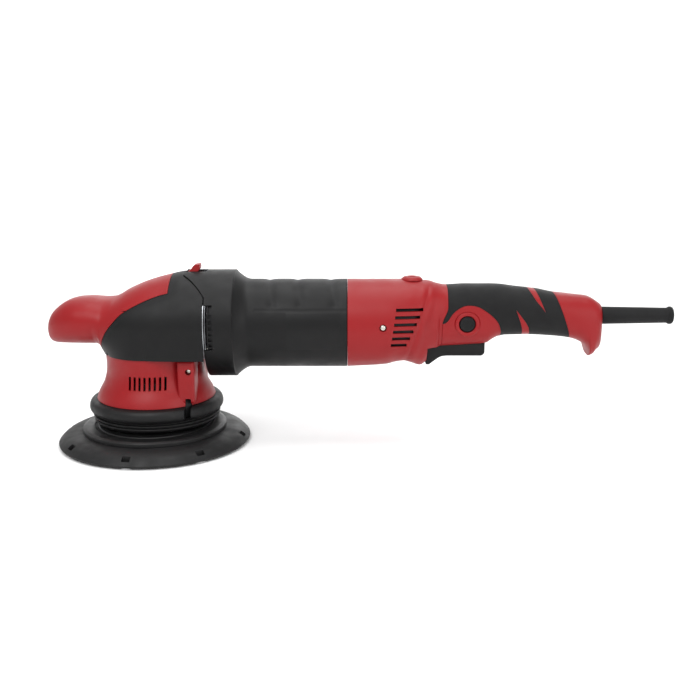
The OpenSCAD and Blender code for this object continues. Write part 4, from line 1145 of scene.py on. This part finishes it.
def plateWindows(plateR, top):
    inner, outer = plateR - plate["rim"] - plate["windowSize"][0], plateR - plate["rim"]
    half = plate["windowSize"][1] / 2
    shape = block("window", (inner, -half, -2), (outer, half, top))
    rounded(shape, 0.5, 2)
    return ringOf("windows", shape, plate["windows"], (0, padY, 0), plate["firstWindow"])


def makePlate():
    low, high = nodeBox("plate_foam")
    plateR = (high[0] - low[0]) / 2
    hubLow, hubHigh = nodeBox("plate_hub")
    hubR = (hubHigh[0] - hubLow[0]) / 2
    reach = plateR - hubR
    centre = (0, padY, 0)
    foam = lathe("plateRim", filleted([(8, low[2], 0), (plateR - 0.5, low[2], 0.3),
        (plateR, low[2] + 0.9, 0.5),
        (plateR - 0.8, low[2] + 1.9, 0.8), (plateR - reach * 0.23, high[2] - 3.2, 3),
        (plateR - reach * 0.56, high[2] - 0.7, 5), (hubR - 0.4, high[2] - 0.02, 2), (8, high[2] - 0.02, 0)],
        6), centre, "z", 256)
    windows = plateWindows(plateR, high[2] + 1)
    combine(foam, [windows])
    place(foam, "pad", "plate_foam", "plate_foam")
    hub = lathe("plateHub", filleted([(4.1, hubLow[2], 0), (hubR, hubLow[2], 0.3),
        (hubR, hubHigh[2] - 1.2, 0.4),
        (hubR - 2.4, hubHigh[2] - 0.1, 0.8), (hubR - 9, hubHigh[2], 0.5), (hubR - 9.8, hubHigh[2] - 0.7, 0.4),
        (hubR - 12, hubHigh[2] - 0.7, 0.4), (hubR - 12.8, hubHigh[2], 0.4), (4.1, hubHigh[2], 0)]), centre,
        "z", 256)
    place(hub, "pad", "glass_nylon", "plate_hub")
    hookLow, hookHigh = nodeBox("hook_face")
    discR = (hookHigh[0] - hookLow[0]) / 2
    ground = hookLow[2] + plate["hookHeight"]
    disc = lathe("hookTape", filleted([(8, ground, 0), (discR, ground, 0.2), (discR, hookHigh[2], 0.2),
        (8, hookHigh[2], 0)]), centre, "z", 256)
    combine(disc, [windows])
    discard(windows)
    place(disc, "pad", "hook_fabric", "hook_face")
    pitch = plate["hookPitch"]
    windowTurns = [plate["firstWindow"] + 2 * math.pi / plate["windows"] * k for k in range(plate["windows"])]
    spots = []
    count = int(discR / pitch) + 1
    for j in range(-count, count + 1):
        for i in range(-count, count + 1):
            x, y = (i + 0.5 * (j % 2)) * pitch, j * pitch * 0.87
            radius, turn = math.hypot(x, y), math.atan2(y, x)
            away = min(abs((turn - w + math.pi) % (2 * math.pi) - math.pi) for w in windowTurns) * radius
            onWindow = radius > plateR - 7.8 and away < 4.4
            if 9 < radius < discR - 0.9 and not onWindow:
                spots.append((x, y + padY, 0))
    # Each hook is a bent three-sided wire, drawn coarser than a real one so that it shows.
    path = [(0, ground + 0.1), (0, hookLow[2] + 0.35), (0.16, hookLow[2] + 0.08), (0.4, hookLow[2] + 0.02),
        (0.52, hookLow[2] + 0.3)]
    r = plate["hookR"]
    loops = [[(x + r * math.cos(a) * (1 if k < 4 else 0.6), r * math.sin(a), z) for a in (0, 2.09, 4.19)]
        for k, (x, z) in enumerate(path)]
    hook = skinOver("hook", loops)
    hooks = scatterOf("plateHooks", hook, spots, turnStep=2.4)
    place(hooks, "pad", "hook_fabric")
    print("hooks:", len(spots))


makeShroud()
makeBumper()
makePlate()
print("shroud and plate made")


# ---- controls and hardware ----

# Solid up to the top of its pivot boss, which the CAD lever isn't, so it meets the leads and the grips
# when pressed.
def makeTrigger():
    low, high = nodeBox("trigger")
    x0, x1, top, bottom = low[0], high[0], high[2], low[2]
    wide = high[1]
    outline = filleted([(x0, bottom + 0.3, 0.5), (x0 + 2.4, bottom, 0.8), (x0 + 6.6, bottom + 3.2, 3),
        (x0 + 11, bottom + 6.4, 3), (x0 + 15, bottom + 7.2, 2), (x1 - 2, bottom + 7.2, 2),
        (x1, bottom + 9.4, 1.6),
        (x1, top, 0.2), (x0 + 0.8, top, 0.2), (x0, top - 9, 1)], 4)
    lever = prism("triggerLever", outline, -wide, wide)
    rounded(lever, 1.0, 4, 50)
    pin = nodeMiddle("trigger_pin")
    hole = pegY("hole", pin[0], pin[2], -20, 20, 1.55, 48)
    combine(lever, [hole])
    discard(hole)
    place(lever, "trigger", "black_nylon", "trigger")


def makeButton():
    low, high = nodeBox("lock_button")
    radius, face = (high[0] - low[0]) / 2, low[1]
    profile = filleted([(0, face + 0.5, 0), (radius * 0.62, face + 0.35, 1), (radius * 0.74, face, 0.6),
        (radius - 0.5, face + 0.1, 0.5), (radius, face + 0.9, 0.6), (radius, face + 5.8, 0.3),
        (3, face + 5.8, 0),
        (3, high[1], 0.3), (0, high[1], 0)])
    button = smooth(lathe("lockButton", profile, (buttonX, 0, buttonZ), "y", 96))
    place(button, "button", "black_nylon", "lock_button")
    wall = -handle["halfWidth"]
    lip = smooth(lathe("buttonBezel", filleted([(6.5, wall + 1.3, 0.2), (9.3, wall + 1.3, 0),
        (9.6, wall + 0.5, 0.3),
        (8.7, wall - 0.1, 0.6), (7, wall + 0.2, 0.5), (6.5, wall + 0.6, 0.3)]), (buttonX, 0, buttonZ), "y",
        96))
    place(lip, "housing", "red_abs")


def makeSlider():
    x, z = nodeBox("lock_slider")[0][0], axisZ
    outline = filleted([(x, z + 35.2, 0.3), (x + 5.1, z + 35.2, 0.3), (x + 5.4, z + 38.6, 1),
        (x + 9.7, z + 43, 0.8),
        (x + 9.7, z + 46.8, 1), (x + 5.1, z + 46.4, 1.4), (x + 1.9, z + 42, 1.2), (x, z + 41.2, 0.8)], 4)
    tab = prism("sliderTab", outline, -5.2, 5.2)
    rounded(tab, 0.5, 3, 50)
    ribs = slotRow("ribs", 4, (x + 3.4, 0, z + 44.2), (1.15, 0, 0.95), (0.35, 8.4, 0.35))
    combine(tab, [ribs])
    discard(ribs)
    place(tab, "slider", "red_abs", "lock_slider")


def makeBoot():
    low, high = nodeBox("cord_boot")
    x0, x1, centreZ = low[0], high[0], (low[2] + high[2]) / 2
    root, bore = 6.9, 4.1
    corners = [(bore, x0, 0.2), (root + 2.6, x0, 0.4), (root + 2.6, x0 + 2.4, 0.4), (root - 1, x0 + 2.6, 0.2),
        (root - 1, tailEnd + 0.1, 0), (root, tailEnd + 0.15, 0.5), (root - 0.2, tailEnd + 12, 8),
        (root - 0.9, x1 - 6, 4),
        (root - 0.95, x1 - 4.4, 0.8), (root, x1 - 3.2, 0.9), (root + 0.1, x1 - 1.4, 0.9),
        (root - 0.6, x1, 0.8), (bore, x1, 0.5)]
    boot = smooth(lathe("cordBoot", filleted(corners, 6), (0, 0, centreZ), "x", 96))
    place(boot, "housing", "black_rubber", "cord_boot")


def makeHanger():
    low, high = nodeBox("hanger_boss")
    x, z = (low[0] + high[0]) / 2, high[2]
    corners = [(2.5, z - 7.4, 0), (2.5, z - 1.4, 0.2), (3.7, z - 0.2, 0.4), (6.2, z - 0.2, 1),
        (8.2, z - 1.9, 1.2),
        (8.5, z - 3.1, 0.2), (6.1, z - 3.2, 0.2), (6.1, z - 8.4, 0), (0, z - 8.4, 0), (0, z - 7.4, 0)]
    boss = smooth(lathe("hangerBoss", filleted(corners), (x, 0, 0), "z", 96))
    place(boss, "housing", "red_abs", "hanger_boss")


def makeDial():
    low, high = nodeBox("speed_dial")
    radius, x, y = (high[0] - low[0]) / 2, (low[0] + high[0]) / 2, (low[1] + high[1]) / 2
    wheel = lathe("speedDial", filleted([(2.05, low[2], 0.2), (radius, low[2], 0.6), (radius, high[2], 0.6),
        (2.05, high[2], 0.2)]), (x, y, 0), "z", 144)
    tooth = lathe("tooth", [(0, low[2] - 1), (0.7, low[2] - 1), (0.7, high[2] + 1), (0, high[2] + 1)],
        (radius + 0.25, 0, 0), "z", 16)
    teeth = ringOf("teeth", tooth, 30, (x, y, 0))
    combine(wheel, [teeth])
    discard(teeth)
    place(wheel, "dial", "black_nylon", "speed_dial")


# A pan head with a cross recess, its top at height zero and its shank down Z.
def screwShape(name, headR, headH, shankR, length):
    body = lathe(name, filleted([(0, 0, 0), (headR * 0.7, -0.05, 0.5), (headR, -headH * 0.45, 0.5),
        (headR, -headH, 0.2),
        (shankR, -headH, 0.2), (shankR, -length, 0.3), (0, -length, 0)]), (0, 0, 0), "z", 40)
    arm, half = headR * 0.55, headR * 0.13
    cross = [block("cross", (-a, -b, -headH * 0.6), (a, b, 1)) for a, b in ((arm, half), (half, arm))]
    combine(body, cross)
    discard(*cross)
    return body


def makeScrews():
    barrelScrew, skirtScrew = nodeMiddle("housing_screws"), nodeMiddle("shroud_screws")
    barrelSpots = [(barrelScrew[0], s * (barrelR - 0.5), barrelScrew[2]) for s in (-1, 1)]
    skirtSpots = [(skirtScrew[0], s * 32.7, skirtScrew[2]) for s in (-1, 1)]
    for name, node, headR, headH, shankR, length, places in (
            ("housingScrew", "housing_screws", 2.35, 1.9, 1.5, 11.8, barrelSpots),
            ("handleScrew", "handle_screws", 3.2, 2.0, 1.45, 12, handleScrewSpots()),
            ("shroudScrew", "shroud_screws", 2.2, 1.8, 1.45, 7.8, skirtSpots)):
        made = []
        for side in (-1, 1):
            mine = [p for p in places if p[1] * side > 0]
            if not mine:
                continue
            shape = screwShape("screw", headR, headH, shankR, length)
            shape.data.transform(Matrix.Rotation(math.radians(-90 * side), 4, "X"))
            made.append(scatterOf(name + "Side", shape, mine))
        place(joined(name + "s", made), "housing", "zinc_steel", node)


makeTrigger()
makeButton()
makeSlider()
makeBoot()
makeHanger()
makeDial()
makeScrews()
print("controls and screws made")


# ---- the working parts keep their own shape and take their real finish ----

slotOf = {part["node"]: part["material_slot"] for part in frame["record"]["subparts"]}
for node, thing in frame["nodes"].items():
    if not thing.hide_render:
        thing.data.materials.clear()
        thing.data.materials.append(finishes[slotOf[node]])
print("inner parts finished")


# ---- stage ----

def makeStage():
    floorMaterial, _, shader, _ = newMaterial("pale studio sweep")
    shader.inputs["Base Color"].default_value = linearColour("#F4F4F4")
    shader.inputs["Roughness"].default_value = 0.9
    bend = [(4000 * t, 0) for t in (-1, 0, 0.45)]
    bend += [(1800 + 900 * math.sin(a), 900 - 900 * math.cos(a)) for a in np.linspace(0.1, math.pi / 2, 24)]
    bend += [(2700, 4200)]
    points = [(x, y, z - 0.4) for y, z in bend for x in (-5000, 5000)]
    floor = smooth(makeMesh("studioFloor", points, [(2 * k, 2 * k + 1, 2 * k + 3, 2 * k + 2)
        for k in range(len(bend) - 1)]))
    floor.data.materials.append(floorMaterial)
    bpy.context.scene.view_settings.view_transform = "Standard"
    world = bpy.data.worlds.new("studio")
    bpy.context.scene.world = world
    world.use_nodes = True
    sky = world.node_tree.nodes["Background"]
    sky.inputs["Color"].default_value = (1.0, 1.0, 1.0, 1.0)
    sky.inputs["Strength"].default_value = 0.62
    lamps = {
        "key": ((-0.35, -1.1, 1.3), 1.1, 16),
        "fill": ((1.1, -0.9, 0.6), 1.2, 7),
        "top": ((0.15, 0.2, 1.5), 1.4, 14),
        "backdrop": ((0.15, 0.9, 1.2), 1.6, 60),
    }
    aim = Vector((0.15, 0, 0.08))
    for name, (where, size, power) in lamps.items():
        lamp = bpy.data.lights.new(name, "AREA")
        lamp.shape = "DISK"
        lamp.size = size
        lamp.energy = power
        holder = link(bpy.data.objects.new(name, lamp))
        holder.location = where
        target = Vector((0.15, 3.0, 0.9)) if name == "backdrop" else aim
        holder.rotation_euler = (target - Vector(where)).to_track_quat("-Z", "Y").to_euler()


def makeCamera():
    lens = bpy.data.cameras.new("camera")
    lens.lens = 50
    lens.sensor_width = 36
    holder = link(bpy.data.objects.new("camera", lens))
    holder.location = (0.155, -0.7538, 0.2436)
    holder.rotation_euler = (math.radians(90 - 12.96), 0, 0)
    bpy.context.scene.camera = holder


makeStage()
makeCamera()
print("stage and camera made")
